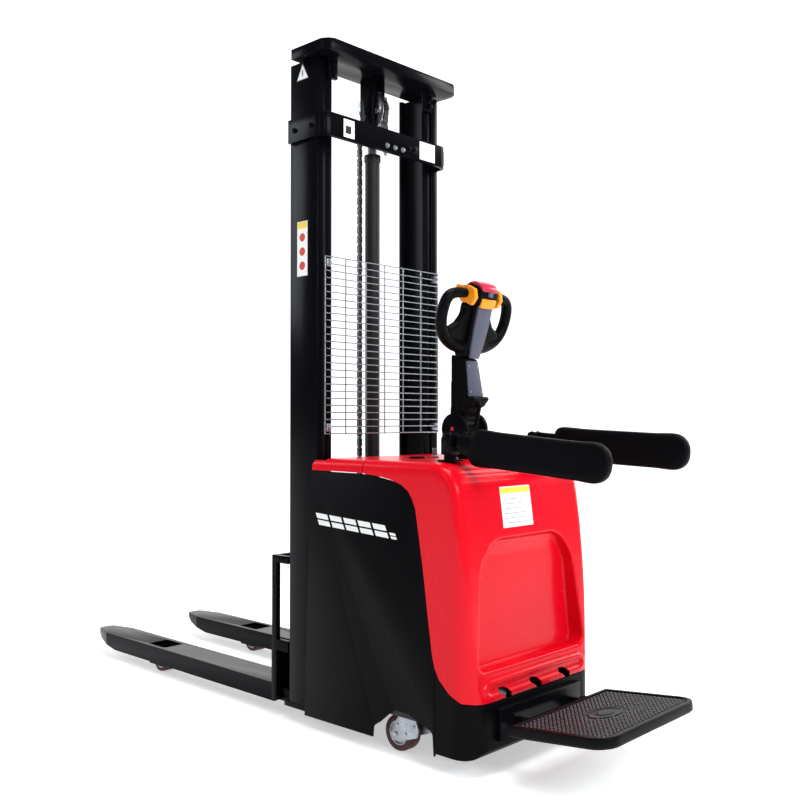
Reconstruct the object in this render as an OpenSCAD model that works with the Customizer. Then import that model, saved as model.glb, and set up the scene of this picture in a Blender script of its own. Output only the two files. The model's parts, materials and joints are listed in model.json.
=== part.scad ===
// Ride-on electric pallet stacker: a two-stage mast with forks over fixed
// support legs, a rounded cover, a steering tiller, side guard arms and a
// folding platform for the driver. Millimetres, +Z up, forks toward +Y.
// The origin is on the ground at the centre of the outline.

/* [Mast] */
// closed height of the mast, ground to top plate
mast_h = 2080; // [1900:10:2300]
// width across the outer mast channels
mast_w = 556; // [500:2:660]
// depth of the outer mast channels
mast_d = 126; // [110:1:150]
// lift travel of the inner mast (the forks travel twice this)
stroke = 1460; // [1000:10:1500]
// wall of the mast channels
channel_t = 12; // [8:1:16]
// pitch radius of the chain wheel
chain_r = 60; // [50:1:70]
// radius of the lift cylinder barrel
barrel_r = 24; // [20:1:30]
// radius of the lift cylinder rod
rod_r = 16; // [12:1:18]

/* [Forks] */
// fork length from the carriage face to the tip
fork_len = 1143; // [900:1:1300]
// width of one fork
fork_w = 116; // [100:1:180]
// width across both forks
fork_span = 536; // [500:2:700]
// height of the fork top when lowered
fork_top = 95; // [85:1:110]
// height of the fork side plates
fork_side = 58; // [50:1:64]
// thickness of the fork plate
fork_t = 7; // [5:1:10]

/* [Wheels] */
// radius of the load wheels
load_r = 40; // [35:1:42]
// width of the load wheels
load_w = 66; // [50:1:72]
// load wheel position from the mast face
load_y = 910; // [700:5:1000]
// radius of the caster wheels
caster_r = 51; // [45:1:55]
// width of the caster wheels
caster_w = 46; // [40:1:50]
// half spacing of the caster swivel axes
caster_x = 229; // [220:1:240]
// trail of the casters
trail = 46; // [30:1:50]
// radius of the drive wheel
drive_r = 105; // [95:1:108]
// width of the drive wheel
drive_w = 74; // [60:1:80]

/* [Body] */
// width across the covers
body_w = 580; // [572:2:660]
// height of the cover top
cover_top = 816; // [760:1:860]
// rearmost face of the hood at its foot, behind the mast face
hood_back = 616; // [600:1:640]
// thickness of the plastic covers
skin = 5; // [3:0.5:8]

/* [Tiller] */
// height of the tiller tilt pivot
pivot_z = 905; // [890:1:940]
// steering axis behind the mast face
steer_y = -352; // [-360:1:-340]
// lean of the tiller head toward the driver
head_lean = 16; // [0:1:30]
// width across the handle loops
handle_w = 330; // [280:2:360]

/* [Platform and arms] */
// platform width
plat_w = 476; // [420:2:540]
// platform outer end behind the mast face
plat_end = 985; // [900:1:1040]
// platform thickness
plat_t = 30; // [20:1:40]
// upward tilt of the platform
plat_tilt = 6; // [0:0.5:7]
// half spacing of the side arms
arm_x = 200; // [190:1:260]
// length of the arm pads
pad_len = 433; // [300:1:460]
// height of the arm pads
pad_h = 103; // [70:1:112]
// thickness of the arm pads
pad_t = 38; // [25:1:50]
// downward slope of the arms
arm_slope = 3.5; // [0:0.5:8]
// play of the arm pivots, which lets the left arm rest lower than the right one
arm_play = 1.1; // [0:0.1:2]

/* [Fits] */
// radial running clearance of pins, axles and shafts
run = 0.05; // [0.02:0.01:0.1]
// gap between neighbouring covers
seam = 2; // [1:0.5:4]
// gap between moving and fixed plates
gap = 2; // [1:0.5:4]

/* [Hidden] */
$fn = 64;
e = 0.01;
heel_y = 212;
tip_y = heel_y + fork_len;
mast_y = -(tip_y - plat_end) / 2;
mw = mast_w / 2;
plate_t = 32;
base_z = 56;
top_under = mast_h - plate_t;
gap_top = 4;
plate_back = mast_d - 34;
flange_w = 32;
in_w = mw - flange_w - 4;
in_d0 = 4;
in_d1 = mast_d - 4;
in_flange = 28;
in_z0 = 90;
roll_y = mast_d / 2;
roll_r = mast_d / 2 - channel_t - 0.4;
croll_r = (in_d1 - in_d0) / 2 - channel_t - 0.4;
mroll_z = 150;
croll_z = [150, 440];
cyl_y = 40;
wheel_z = mast_h - 140;
bw = body_w / 2;
fork_c = fork_span / 2 - fork_w / 2;
leg_w = fork_w - 2 * fork_t - 2 * 4;
leg_top = fork_top - fork_t - 5;
leg_end = load_y + 66;
bar_front = -41;
bar_z0 = mast_h - 284;
bar_z1 = mast_h - 211;
barrel_top = bar_z0 + 4;
deck_z = 112;
ring_z = 252;
caster_y = -314 - trail;
meter_x = -100;
meter_y = -250;
arm_y = -465;
arm_z = 878;
hinge_y = -668;
hinge_z = 128;
plat_root = hinge_y - 18;
head_y = -356;
head_z = 1118;
guard_w = 518;
guard_z0 = 887;
guard_z1 = 1433;

black = [0.06, 0.06, 0.07];
soot = [0.1, 0.1, 0.11];
red = [0.86, 0.05, 0.08];
steel = [0.72, 0.73, 0.75];
zinc = [0.6, 0.62, 0.65];
orange = [1.0, 0.55, 0.05];
tread = [0.45, 0.2, 0.15];
white = [0.95, 0.95, 0.93];

// everything below is measured from the driver-side face of the mast
module at_mast() translate([0, mast_y, 0]) children();

// box given by its two corners
module box(a, b) translate(a) cube([b[0] - a[0], b[1] - a[1], b[2] - a[2]]);

// both sides of the truck
module both() {
    children();
    mirror([1, 0, 0]) children();
}

// cylinder along X, centred at [x, y, z]
module xcyl(r, x0, x1, y, z) translate([x0, y, z]) rotate([0, 90, 0]) cylinder(r = r, h = x1 - x0);

// cylinder along Y
module ycyl(r, y0, y1, x, z) translate([x, y0, z]) rotate([-90, 0, 0]) cylinder(r = r, h = y1 - y0);

// outline in the side view (Y, Z), extruded from x0 to x1
module side(x0, x1) translate([x0, 0, 0]) rotate([90, 0, 90]) linear_extrude(height = x1 - x0) children();

// outline in the front view (X, Z), extruded from y0 to y1
module front(y0, y1) translate([0, y1, 0]) rotate([90, 0, 0]) linear_extrude(height = y1 - y0) children();

// rounded 2D rectangle between two corners
module rrect(a, b, r) offset(r = r) translate([a[0] + r, a[1] + r]) square([b[0] - a[0] - 2 * r, b[1] - a[1] - 2 * r]);

// ------------------------------------------------------------- frame

// welded frame under the covers: deck, bulkhead, walls, ring plate, guide
module chassis_frame() color(soot) at_mast() difference() {
    union() {
        translate([0, 0, deck_z]) linear_extrude(height = 10) intersection() {
            cover_plan(skin + 1);
            translate([-300, -700]) square([600, 654]);
        }
        box([-268, -62, deck_z], [268, -50, 735]);
        both() box([274, -540, deck_z], [284, -50, ring_z + 12]);
        box([-284, -540, ring_z], [284, -230, ring_z + 12]);
        both() box([274, -420, ring_z], [284, -300, 712]);
        box([-284, -410, 700], [284, -300, 712]);
        both() box([256, -62, base_z], [272, -36, deck_z + 5]);
        box([-268, -62, 40], [268, -46, deck_z + 5]);
        both() box([160, -490, 700], [240, -405, 712]);
        both() box([190, -480, 711], [210, -450, 760]);
        // brackets that tie the frame to the mast channels
        both() box([mw - flange_w + 2, -52, 640], [mw - 10, 0, 700]);
    }
    // room for the drive wheel to swing
    translate([0, steer_y, deck_z - 1]) cylinder(r = drive_r + 17, h = 12);
    translate([0, steer_y, ring_z - 1]) cylinder(r = 78 + run, h = 14);
    translate([0, steer_y, 699]) cylinder(r = 20 + run, h = 14);
    both() translate([caster_x, caster_y, deck_z - 1]) cylinder(r = 8 + run, h = 12);
    translate([-246, -63, 330]) rotate([-90, 0, 0]) cylinder(r = 13, h = 14);
}

// base plate under the mast with the two support legs that carry the load wheels
module leg_frame() color(black) at_mast() difference() {
    union() {
        box([-mw, -46, 40], [mw, 150, base_z]);
        both() box([fork_c - leg_w / 2, mast_d + 2, 42], [fork_c + leg_w / 2, leg_end, leg_top]);
        both() side(fork_c - leg_w / 2, fork_c + leg_w / 2)
            polygon([[load_y - 110, 44], [load_y - 40, 27], [load_y + 40, 27], [leg_end, 44]]);
        box([-fork_c, mast_d + 2, 42], [fork_c, 160, leg_top]);
        both() xcyl(10, fork_c - leg_w / 2 + 1, fork_c + leg_w / 2 - 1, load_y, load_r);
    }
    both() difference() {
        box([fork_c - load_w / 2 - 3, load_y - load_r - 6, 0], [fork_c + load_w / 2 + 3, load_y + load_r + 6, 120]);
        xcyl(10, fork_c - 60, fork_c + 60, load_y, load_r);
        both() xcyl(14, fork_c + load_w / 2 + 0.6, fork_c + load_w / 2 + 4, load_y, load_r);
        translate([2 * fork_c, 0, 0]) mirror([1, 0, 0]) xcyl(14, fork_c + load_w / 2 + 0.6, fork_c + load_w / 2 + 4, load_y, load_r);
    }
}

// one outer mast channel, open toward the middle
module outer_channel() difference() {
    box([mw - flange_w, 0, base_z], [mw, mast_d, top_under - gap_top]);
    box([mw - flange_w - 1, channel_t, base_z - 1], [mw - 10, mast_d - channel_t, mast_h]);
}
module mast_channel_right() color(black) at_mast() outer_channel();
module mast_channel_left() color(black) at_mast() mirror([1, 0, 0]) outer_channel();

// U-shaped bar round the front of the outer mast
module crossbar() color(black) at_mast() union() {
    translate([0, 0, bar_z0]) linear_extrude(height = bar_z1 - bar_z0) difference() {
        offset(r = 38) translate([-mw - 10 + 38, bar_front + 38]) square([2 * (mw + 10) - 76, 260]);
        offset(r = 28) translate([-mw + 28, bar_front + 12 + 28]) square([2 * mw - 56, 300]);
        translate([-400, mast_d]) square([800, 400]);
    }
    both() box([mw - flange_w + 4, bar_front + 10, bar_z0 + 12], [mw, 0, bar_z1 - 12]);
    // heads of the chain adjusting bolts
    for (x = [86, 112]) ycyl(7, bar_front - 9, bar_front + 1, x, bar_z0 + 30);
    box([78, bar_front - 4, bar_z0 + 20], [120, bar_front + 1, bar_z0 + 40]);
}

// chain anchor on the back of the crossbar
module chain_anchor() color(steel) at_mast() union() {
    box([-16, bar_front + 12, bar_z0 + 14], [16, bar_front + 34, bar_z0 + 28]);
    translate([0, cyl_y - chain_r, bar_z0 - 6]) cylinder(r = 5, h = 64);
    translate([0, cyl_y - chain_r, bar_z0 + 28]) cylinder(r = 9, h = 8, $fn = 6);
    translate([0, cyl_y - chain_r, bar_z0 + 4]) cylinder(r = 9, h = 10, $fn = 6);
    box([-9, cyl_y - chain_r - 5, bar_z0 + 56], [9, cyl_y - chain_r + 5, bar_z0 + 72]);
}

// lift cylinder barrel standing on the base plate
module cylinder_barrel() color(soot) at_mast() difference() {
    union() {
        translate([0, cyl_y, base_z]) cylinder(r = barrel_r, h = barrel_top - 22 - base_z);
        translate([0, cyl_y, barrel_top - 22]) cylinder(r = barrel_r + 3, h = 22);
        translate([0, cyl_y, base_z]) cylinder(r = barrel_r + 8, h = 9);
    }
    translate([0, cyl_y, base_z + 20]) cylinder(r = rod_r + 5.6, h = barrel_top - base_z - 48);
    translate([0, cyl_y, barrel_top - 29]) cylinder(r = rod_r + run, h = 60);
}

// wire screen between the driver and the forks
module mesh_guard() color(zinc) at_mast() union() {
    for (i = [0:6]) box([-guard_w / 2 + i * (guard_w - 4) / 6, -20, guard_z0], [-guard_w / 2 + 4 + i * (guard_w - 4) / 6, -16, guard_z1]);
    for (i = [0:25]) translate([-guard_w / 2, -18, guard_z0 + i * (guard_z1 - guard_z0 - 3) / 25]) cube([guard_w, 3.5, 3]);
    both() for (z = [guard_z0 + 8, guard_z1 - 34]) {
        box([mw - 31, -22, z], [mw - 16, 0, z + 26]);
        ycyl(5, -26, -20, mw - 23, z + 13);
    }
}

// ------------------------------------------------------------- covers

// side view of the whole cover
module cover_side(d = 0) offset(delta = -d) polygon([
    [60, -40], [60, cover_top], [-470, cover_top], [-510, cover_top - 8], [-538, cover_top - 28],
    [-555, cover_top - 55], [-562, cover_top - 76], [-578, 620], [-589, 500], [-600, 372], [-609, 209],
    [-hood_back, 190], [-hood_back, 62], [-598, 46], [-560, 38], [-472, 36], [-472, -40]]);

// side view of the edge where hood and lid meet the black side panels
module panel_side(s = 0) polygon([
    [60, -60], [60, cover_top - 36 - s], [-201, cover_top - 37 - s], [-270, cover_top - 43 - s], [-320, cover_top - 51 - s],
    [-362, cover_top - 63 - s], [-388, cover_top - 79 - s], [-402 + s, cover_top - 97], [-416 + s, 690], [-430 + s, 610],
    [-445 + s, 521], [-462 + s, 400], [-477 + s, 300], [-486 + s, 268], [-502 + s, 241 - s], [-535, 211 - s],
    [-573, 192 - s], [-700, 183 - s], [-700, -60]]);

// plan view of the covers, smaller by d
module cover_plan(d = 0) difference() {
    offset(r = 70 - d) polygon([[-bw + 70, -hood_back + 70], [bw - 70, -hood_back + 70], [bw - 70, 0], [-bw + 70, 0]]);
    translate([-400, 11]) square([800, 200]);
}

// front view of the covers, smaller by d
module cover_front(d = 0) offset(r = 26 - d) polygon([[-bw + 26, -100], [bw - 26, -100], [bw - 26, cover_top - 26], [-bw + 26, cover_top - 26]]);

// outside of the covers, smaller by d
module cover_body(d = 0) intersection() {
    side(-400, 400) cover_side(d);
    translate([0, 0, -60]) linear_extrude(height = 1000) cover_plan(d);
    front(-700, 100) cover_front(d);
}

// hollow knee recess in the rear of the hood, grown by d
module recess(d = 0) intersection() {
    front(-700, -548 + d) offset(r = 34 + d) polygon([[-216, 266], [216, 266], [182, 538], [150, 572], [-150, 572], [-182, 538]]);
    side(-300, 300) offset(delta = d) polygon([[-700, 220], [-566, 220], [-556, 232], [-549, 400], [-548, 560], [-560, 600], [-592, 622], [-700, 640]]);
}

// red hood over the drive unit
module hood() color(red) at_mast() difference() {
    intersection() {
        union() {
            difference() {
                cover_body();
                cover_body(skin);
            }
            intersection() {
                cover_body();
                recess(skin);
            }
        }
        difference() {
            box([-400, -700, 150], [400, -211, 900]);
            side(-401, 401) panel_side(0);
        }
    }
    recess();
    // three hooked notches in the foot of the recess
    for (x = [-140, 0, 140]) front(-640, -597) translate([x, 0]) polygon([[-12, 150], [-3, 206], [-20, 219], [-9, 226], [10, 212], [12, 150]]);
    // steering column and switch holes
    translate([0, steer_y, cover_top - 40]) cylinder(r = 34, h = 60);
    translate([meter_x, meter_y, cover_top - 40]) cylinder(r = 20, h = 60);
    translate([-8, -240, cover_top - 40]) cylinder(r = 11, h = 60);
    both() translate([arm_x - 12, -482, cover_top - 60]) cube([24, 34, 80]);
}

// red lid over the battery, with two tongues beside the mast
module battery_lid() color(red) at_mast() difference() {
    cover_body();
    cover_body(skin);
    side(-401, 401) panel_side(0);
    box([-400, -700, -80], [400, -211 + seam, 900]);
    box([-mw - 3, -46, -80], [mw + 3, 100, 900]);
}

// black side panel beside the mast and the battery
module side_panel() side(bw - skin, bw) difference() {
    intersection() {
        panel_side(seam);
        polygon([[41, 34], [11, cover_top], [-486, cover_top], [-486, 36], [-249, 36]]);
    }
    offset(r = 16) polygon([[-266, 0], [-270, 58], [-292, 72], [-340, 112], [-386, 112], [-462, 86], [-468, 0]]);
}
module side_panel_right() color(black) at_mast() side_panel();
module side_panel_left() color(black) at_mast() mirror([1, 0, 0]) side_panel();

// black skirt round the rear foot
module rear_skirt() color(black) at_mast() difference() {
    intersection() {
        cover_body();
        side(-400, 400) panel_side(seam);
        box([-400, -700, 30], [400, -488, 300]);
    }
    cover_body(skin);
    box([-200, -640, 0], [200, -600, 40]);
}

// thin generic marks: mast triangle and strip, bar plates, hood plate, side stripes
module labels() color(white) at_mast() union() {
    side(-mw - 0.8, -mw) polygon([[40, mast_h - 92], [96, mast_h - 92], [68, mast_h - 40]]);
    side(-mw - 0.8, -mw) translate([44, mast_h - 704]) square([48, 170]);
    front(bar_front - 0.8, bar_front) translate([-206, bar_z0 + 8]) square([46, 56]);
    front(bar_front - 0.8, bar_front) translate([142, bar_z0 + 7]) square([76, 60]);
    translate([-107, -576.4, 634]) rotate([-7.4, 0, 0]) translate([0, -1, 0]) cube([142, 1, 112]);
    for (i = [0:3]) side(-bw - 0.8, -bw) translate([-44 - i * 62, 632 - i * 6]) polygon([[0, 0], [-44, -4], [-52, 34], [-8, 38]]);
    for (i = [0:3]) side(bw, bw + 0.8) translate([-44 - i * 62, 632 - i * 6]) polygon([[0, 0], [-44, -4], [-52, 34], [-8, 38]]);
}

// ------------------------------------------------------------- inside

// battery box with two lifting eyes and two terminals
module battery() color([0.2, 0.22, 0.25]) at_mast() union() {
    box([-228, -206, deck_z + 10], [228, -72, 640]);
    both() box([200, -150, 640], [206, -128, 668]);
    for (x = [-90, 90]) translate([x, -139, 640]) cylinder(r = 14, h = 22);
    box([-60, -160, 640], [60, -118, 664]);
}

// pump motor, pump block and oil tank
module power_pack() color([0.25, 0.26, 0.28]) at_mast() union() {
    box([-70, -536, ring_z + 12], [236, -430, 520]);
    translate([-150, -484, ring_z + 12]) cylinder(r = 46, h = 170);
    translate([-150, -484, ring_z + 182]) cylinder(r = 34, h = 24);
    box([-118, -506, 300], [-68, -460, 360]);
    translate([190, -480, 519]) cylinder(r = 18, h = 20);
}

// hose from the pump to the foot of the lift cylinder, with square elbows
module elbow(p) translate(p) cube(18, center = true);
module hydraulic_hose() color(black) at_mast() union() {
    ycyl(7, -484, -36, -246, 330);
    xcyl(7, -246, -195.5, -484, 330);
    elbow([-246, -484, 330]);
    elbow([-246, -36, 330]);
    translate([-246, -36, 74]) cylinder(r = 7, h = 256);
    elbow([-246, -36, 74]);
    xcyl(7, -246, 0, -36, 74);
    elbow([0, -36, 74]);
    ycyl(7, -36, 17, 0, 74);
}

// motor controller with cooling ribs
module controller() color([0.3, 0.31, 0.33]) at_mast() union() {
    box([110, -410, ring_z + 12], [240, -300, ring_z + 60]);
    for (i = [0:5]) box([114 + i * 22, -408, ring_z + 60], [124 + i * 22, -302, ring_z + 78]);
}

// round battery gauge in the hood
module meter() color(black) at_mast() translate([meter_x, meter_y, 0]) union() {
    translate([0, 0, cover_top]) cylinder(r = 24, h = 5);
    translate([0, 0, cover_top - 34]) cylinder(r = 19.5, h = 35);
}

// key lock in the hood
module key_lock() color(steel) at_mast() translate([-8, -240, 0]) difference() {
    union() {
        translate([0, 0, cover_top]) cylinder(r = 14, h = 5);
        translate([0, 0, cover_top - 30]) cylinder(r = 10.5, h = 31);
    }
    translate([0, 0, cover_top - 20]) cylinder(r = 6 + run, h = 40);
}

// key with its barrel
module key() color(steel) at_mast() translate([-8, -240, 0]) union() {
    translate([0, 0, cover_top - 19]) cylinder(r = 6, h = 26);
    translate([-1.5, -9, cover_top + 7]) cube([3, 18, 22]);
}

// brackets that carry the side arms
module arm_posts() color(black) at_mast() both() difference() {
    union() {
        box([arm_x - 10, -480, 760], [arm_x + 10, -450, arm_z - 24]);
        box([arm_x - 22, -496, cover_top + 0.5], [arm_x + 22, -436, cover_top + 6]);
        for (s = [-1, 1]) side(arm_x + s * 15 - 4, arm_x + s * 15 + 4) polygon([[-483, arm_z - 30], [-447, arm_z - 30], [-447, arm_z], [-452, arm_z + 14], [-465, arm_z + 19], [-478, arm_z + 14], [-483, arm_z]]);
        box([arm_x - 19, -483, arm_z - 42], [arm_x + 19, -447, arm_z - 22]);
        xcyl(8, arm_x - 22, arm_x + 22, arm_y, arm_z);
    }
}

// ------------------------------------------------------------- inner mast

// one inner mast channel, open toward the middle, with the stub axle of its roller
module inner_channel() union() {
    difference() {
        box([in_w - in_flange, in_d0, in_z0], [in_w, in_d1, top_under]);
        box([in_w - in_flange - 1, in_d0 + channel_t, in_z0 - 1], [in_w - 9, in_d1 - channel_t, mast_h]);
    }
    xcyl(14, in_w - 9, mw - 12, roll_y, mroll_z);
}
module inner_channel_right() color(black) at_mast() inner_channel();
module inner_channel_left() color(black) at_mast() mirror([1, 0, 0]) inner_channel();

// cross tie at the foot of the inner mast
module inner_tie() color(black) at_mast() union() {
    box([-in_w, -8, in_z0], [in_w, in_d0, in_z0 + 80]);
    box([-in_w + in_flange, -8, in_z0], [in_w - in_flange, 10, in_z0 + 80]);
}

// top plate of the inner mast
module top_plate() color(black) at_mast() union() {
    translate([0, 0, top_under]) linear_extrude(height = plate_t) polygon([
        [-304.5, plate_back], [-304.5, -46], [-292, -66], [-274.5, -76], [274.5, -76], [292, -66], [304.5, -46], [304.5, plate_back]]);
    both() box([in_w - 40, in_d0 - 14, top_under - 60], [in_w - 4, in_d0, top_under]);
    both() for (z = [top_under - 18, top_under - 44]) ycyl(8, -16, -9, in_w - 20, z);
}

// clevis under the top plate that carries the chain wheel, with its axle
module wheel_bracket() color(black) at_mast() union() {
    both() box([17, 10, wheel_z - 104], [27, 70, top_under]);
    box([-27, 10, wheel_z - 104], [27, 70, wheel_z - 88]);
    xcyl(10, -34, 34, cyl_y, wheel_z);
    both() xcyl(15, 14.6, 18, cyl_y, wheel_z);
}

// lift cylinder rod and piston
module lift_rod() color(steel) at_mast() union() {
    translate([0, cyl_y, base_z + 60]) cylinder(r = rod_r, h = wheel_z - 104 - base_z - 60);
    translate([0, cyl_y, base_z + 30]) cylinder(r = rod_r + 5.5, h = 40);
}

// front run of the lift chain, from the crossbar to the wheel
module chain_front() color(zinc) at_mast()
    box([-8, cyl_y - chain_r - 5, bar_z0 + 72], [8, cyl_y - chain_r + 5, wheel_z]);

// rear run of the lift chain, from the wheel down to the carriage
module chain_rear() color(zinc) at_mast()
    box([-8, cyl_y + chain_r - 5, 272], [8, cyl_y + chain_r + 5, wheel_z]);

// the part of the chain that lies over the wheel
module chain_wrap() color(zinc) at_mast() translate([-8, cyl_y, wheel_z]) rotate([90, 0, 90])
    difference() {
        cylinder(r = chain_r + 5, h = 16);
        translate([0, 0, -1]) cylinder(r = chain_r - 5, h = 18);
        translate([-100, -200, -1]) cube([200, 200, 18]);
    }

// chain wheel
module chain_wheel() color(steel) at_mast() translate([0, cyl_y, wheel_z]) rotate([90, 0, 90]) difference() {
    translate([0, 0, -14]) rotate_extrude() polygon([[0, 0], [chain_r + 4, 0], [chain_r + 4, 3], [chain_r - 5.5, 5], [chain_r - 5.5, 23], [chain_r + 4, 25], [chain_r + 4, 28], [0, 28]]);
    translate([0, 0, -20]) cylinder(r = 10 + run, h = 40);
    for (a = [0:60:359]) rotate([0, 0, a]) translate([34, 0, -20]) cylinder(r = 8, h = 40);
}

// ring roller on X axis
module roller(x0, x1, r, y, z) difference() {
    xcyl(r, x0, x1, y, z);
    xcyl(14 + run, x0 - 1, x1 + 1, y, z);
}
module mast_rollers() color(zinc) at_mast() both() roller(in_w + 4, mw - 12, roll_r, roll_y, mroll_z);

// ------------------------------------------------------------- carriage

// carriage: roller plates, cross members and fork plate
module carriage_frame() color(black) at_mast() union() {
    both() {
        box([in_w - in_flange - 18, 20, 100], [in_w - in_flange - 2, 190, 503]);
        for (z = croll_z) xcyl(14, in_w - in_flange - 3, in_w - 10, roll_y, z);
        box([mw - 16, 190, 46], [mw, heel_y, 503]);
        for (z = [[205, 238], [480, 503]]) box([mw - 16, 134, z[0]], [mw, 192, z[1]]);
    }
    for (z = [[205, 238], [480, 503]]) box([-mw, 134, z[0]], [mw, 146, z[1]]);
    box([-mw, 190, 100], [mw, heel_y, 205]);
    // chain shackle
    box([-14, cyl_y + chain_r - 8, 206], [14, 140, 236]);
    translate([0, cyl_y + chain_r, 200]) cylinder(r = 5, h = 60);
    box([-9, cyl_y + chain_r - 5, 256], [9, cyl_y + chain_r + 5, 272]);
}

// upper rail of the carriage with two uprights that load rests against
module backrest() color(black) at_mast() union() {
    box([-mw + 16, 190, 478], [mw - 16, heel_y, 503]);
    for (x = [-110, 0, 110]) box([x - 14, 194, 205], [x + 14, heel_y - 2, 479]);
}

// one fork: inverted channel over the support leg with a rounded tip
module fork() union() {
    // heel plate on the carriage
    box([fork_c - fork_w / 2, heel_y, fork_top - fork_t], [fork_c + fork_w / 2, heel_y + 14, 200]);
    difference() {
    intersection() {
        translate([0, 0, fork_top - fork_side]) linear_extrude(height = fork_side) union() {
            translate([fork_c - fork_w / 2, heel_y]) square([fork_w, fork_len - 150]);
            offset(r = 26) polygon([[fork_c - fork_w / 2 + 26, tip_y - 200], [fork_c + fork_w / 2 - 26, tip_y - 200],
                [fork_c + fork_w / 2 - 26, tip_y - 110], [fork_c + 10, tip_y - 26], [fork_c - 10, tip_y - 26], [fork_c - fork_w / 2 + 26, tip_y - 110]]);
        }
        side(0, 400) polygon([[heel_y, fork_top - fork_side], [tip_y - 170, fork_top - fork_side], [tip_y - 40, fork_top - 34],
            [tip_y - 4, fork_top - 12], [tip_y, fork_top - 4], [tip_y, fork_top], [heel_y, fork_top]]);
    }
    // hollow for the leg
    box([fork_c - fork_w / 2 + fork_t, heel_y - 1, 0], [fork_c + fork_w / 2 - fork_t, leg_end + 24, fork_top - fork_t]);
    // window over the load wheel
    translate([0, 0, fork_top - 20]) linear_extrude(height = 40)
        rrect([fork_c - 41, load_y - 44], [fork_c + 41, load_y + 62], 8);
    }
}
module fork_right() color(black) at_mast() fork();
module fork_left() color(black) at_mast() mirror([1, 0, 0]) fork();

module carriage_rollers_lower() color(zinc) at_mast() both() roller(in_w - in_flange + 1, in_w - 10, croll_r, roll_y, croll_z[0]);
module carriage_rollers_upper() color(zinc) at_mast() both() roller(in_w - in_flange + 1, in_w - 10, croll_r, roll_y, croll_z[1]);

// ------------------------------------------------------------- drive unit

// turntable and yoke of the drive wheel, with the reduction gear on one side
module drive_yoke() color(soot) at_mast() translate([0, steer_y, 0]) union() {
    translate([0, 0, drive_r + 121]) cylinder(r = 100, h = ring_z - drive_r - 123);
    translate([0, 0, ring_z - 4]) cylinder(r = 78, h = 30);
    box([-54, -34, 80], [-42, 34, drive_r + 122]);
    box([42, -44, 62], [82, 44, drive_r + 122]);
    xcyl(40, 42, 78, 0, drive_r);
    xcyl(16, -60, 60, 0, drive_r);
    both() xcyl(26, drive_w / 2 + 0.5, 44, 0, drive_r);
}

// vertical drive motor
module drive_motor() color([0.2, 0.2, 0.22]) at_mast() translate([0, steer_y, 0]) union() {
    translate([0, 0, ring_z + 26]) cylinder(r = 64, h = 200);
    translate([0, 0, ring_z + 226]) cylinder(r = 50, h = 28);
    for (i = [0:4]) translate([0, 0, ring_z + 50 + i * 36]) cylinder(r = 67, h = 14);
}

// steering column and the two round cheeks that carry the tiller
module tiller_base() color(black) at_mast() union() {
    translate([0, steer_y, ring_z + 254]) cylinder(r = 20, h = cover_top - ring_z - 241);
    translate([0, steer_y, cover_top + 4]) cylinder(r = 50, h = 16);
    both() {
        box([39, steer_y - 34, cover_top + 12], [51, steer_y + 34, pivot_z]);
        xcyl(46, 39, 53, steer_y, pivot_z);
        xcyl(12, 50, 57, steer_y, pivot_z);
    }
    xcyl(11, -50, 50, steer_y, pivot_z);
}

module drive_wheel() color(tread) at_mast() difference() {
    xcyl(drive_r, -drive_w / 2, drive_w / 2, steer_y, drive_r);
    xcyl(16 + run, -60, 60, steer_y, drive_r);
    both() xcyl(72, drive_w / 2 - 8, 60, steer_y, drive_r);
}

// ------------------------------------------------------------- tiller

// lower arm of the tiller, pivoting between the cheeks
module tiller_column() color(black) difference() {
    at_mast() union() {
        side(-30, 30) offset(r = 6) polygon([[-326, 932], [-331, 1124], [-368, 1124], [-386, 1000], [-388, 974], [-366, 936]]);
        side(-36, 36) offset(r = 4) polygon([[-380, 968], [-396, 974], [-412, 992], [-410, 996], [-380, 996]]);
        xcyl(36, -37, 37, steer_y, pivot_z);
        side(-30, 30) polygon([[-322, 905], [-320, 940], [-382, 940], [-382, 905]]);
        // gas spring seen beside the arm
        translate([0, -394, 912]) rotate([14, 0, 0]) cylinder(r = 6, h = 66);
    }
    at_mast() xcyl(11 + run, -60, 60, steer_y, pivot_z);
    // seat and pocket of the head
    at_head() {
        box([-60, -60, 0], [60, 60, 80]);
        head_spigot();
    }
}

// grey cover plate on the driver side of the arm
module column_cover() color([0.42, 0.44, 0.5]) at_mast() translate([0, -392.2, 1000]) rotate([-8.26, 0, 0]) rotate([90, 0, 0])
    linear_extrude(height = 5) offset(r = 3) polygon([[-30, 3], [30, 3], [23, 104], [-23, 104]]);

module at_head() at_mast() translate([0, head_y, head_z]) rotate([head_lean, 0, 0]) children();

// foot of the head that sits in the arm
module head_spigot() side(-22, 22) offset(r = 4) polygon([[16, -6], [16, 30], [-16, 30], [-12, -6]]);

// tiller head with its raised cap
module tiller_head() color(black) at_head() difference() {
    union() {
        side(-38, 38) offset(r = 8) polygon([[14, 8], [26, 60], [28, 158], [-22, 158], [-24, 60], [-16, 8]]);
        head_spigot();
        side(-42, 42) offset(r = 8) polygon([[30, 160], [34, 200], [10, 216], [-26, 212], [-34, 200], [-30, 160]]);
        side(-33, 33) offset(r = 2) polygon([[-20, 4], [-32, 14], [-36, 164], [-20, 164]]);
    }
    // pocket of the belly button
    box([-27, -24, 212], [27, 28, 240]);
    // pocket of the rocker
    box([-10, -60, 188], [10, -30, 208]);
}

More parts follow.
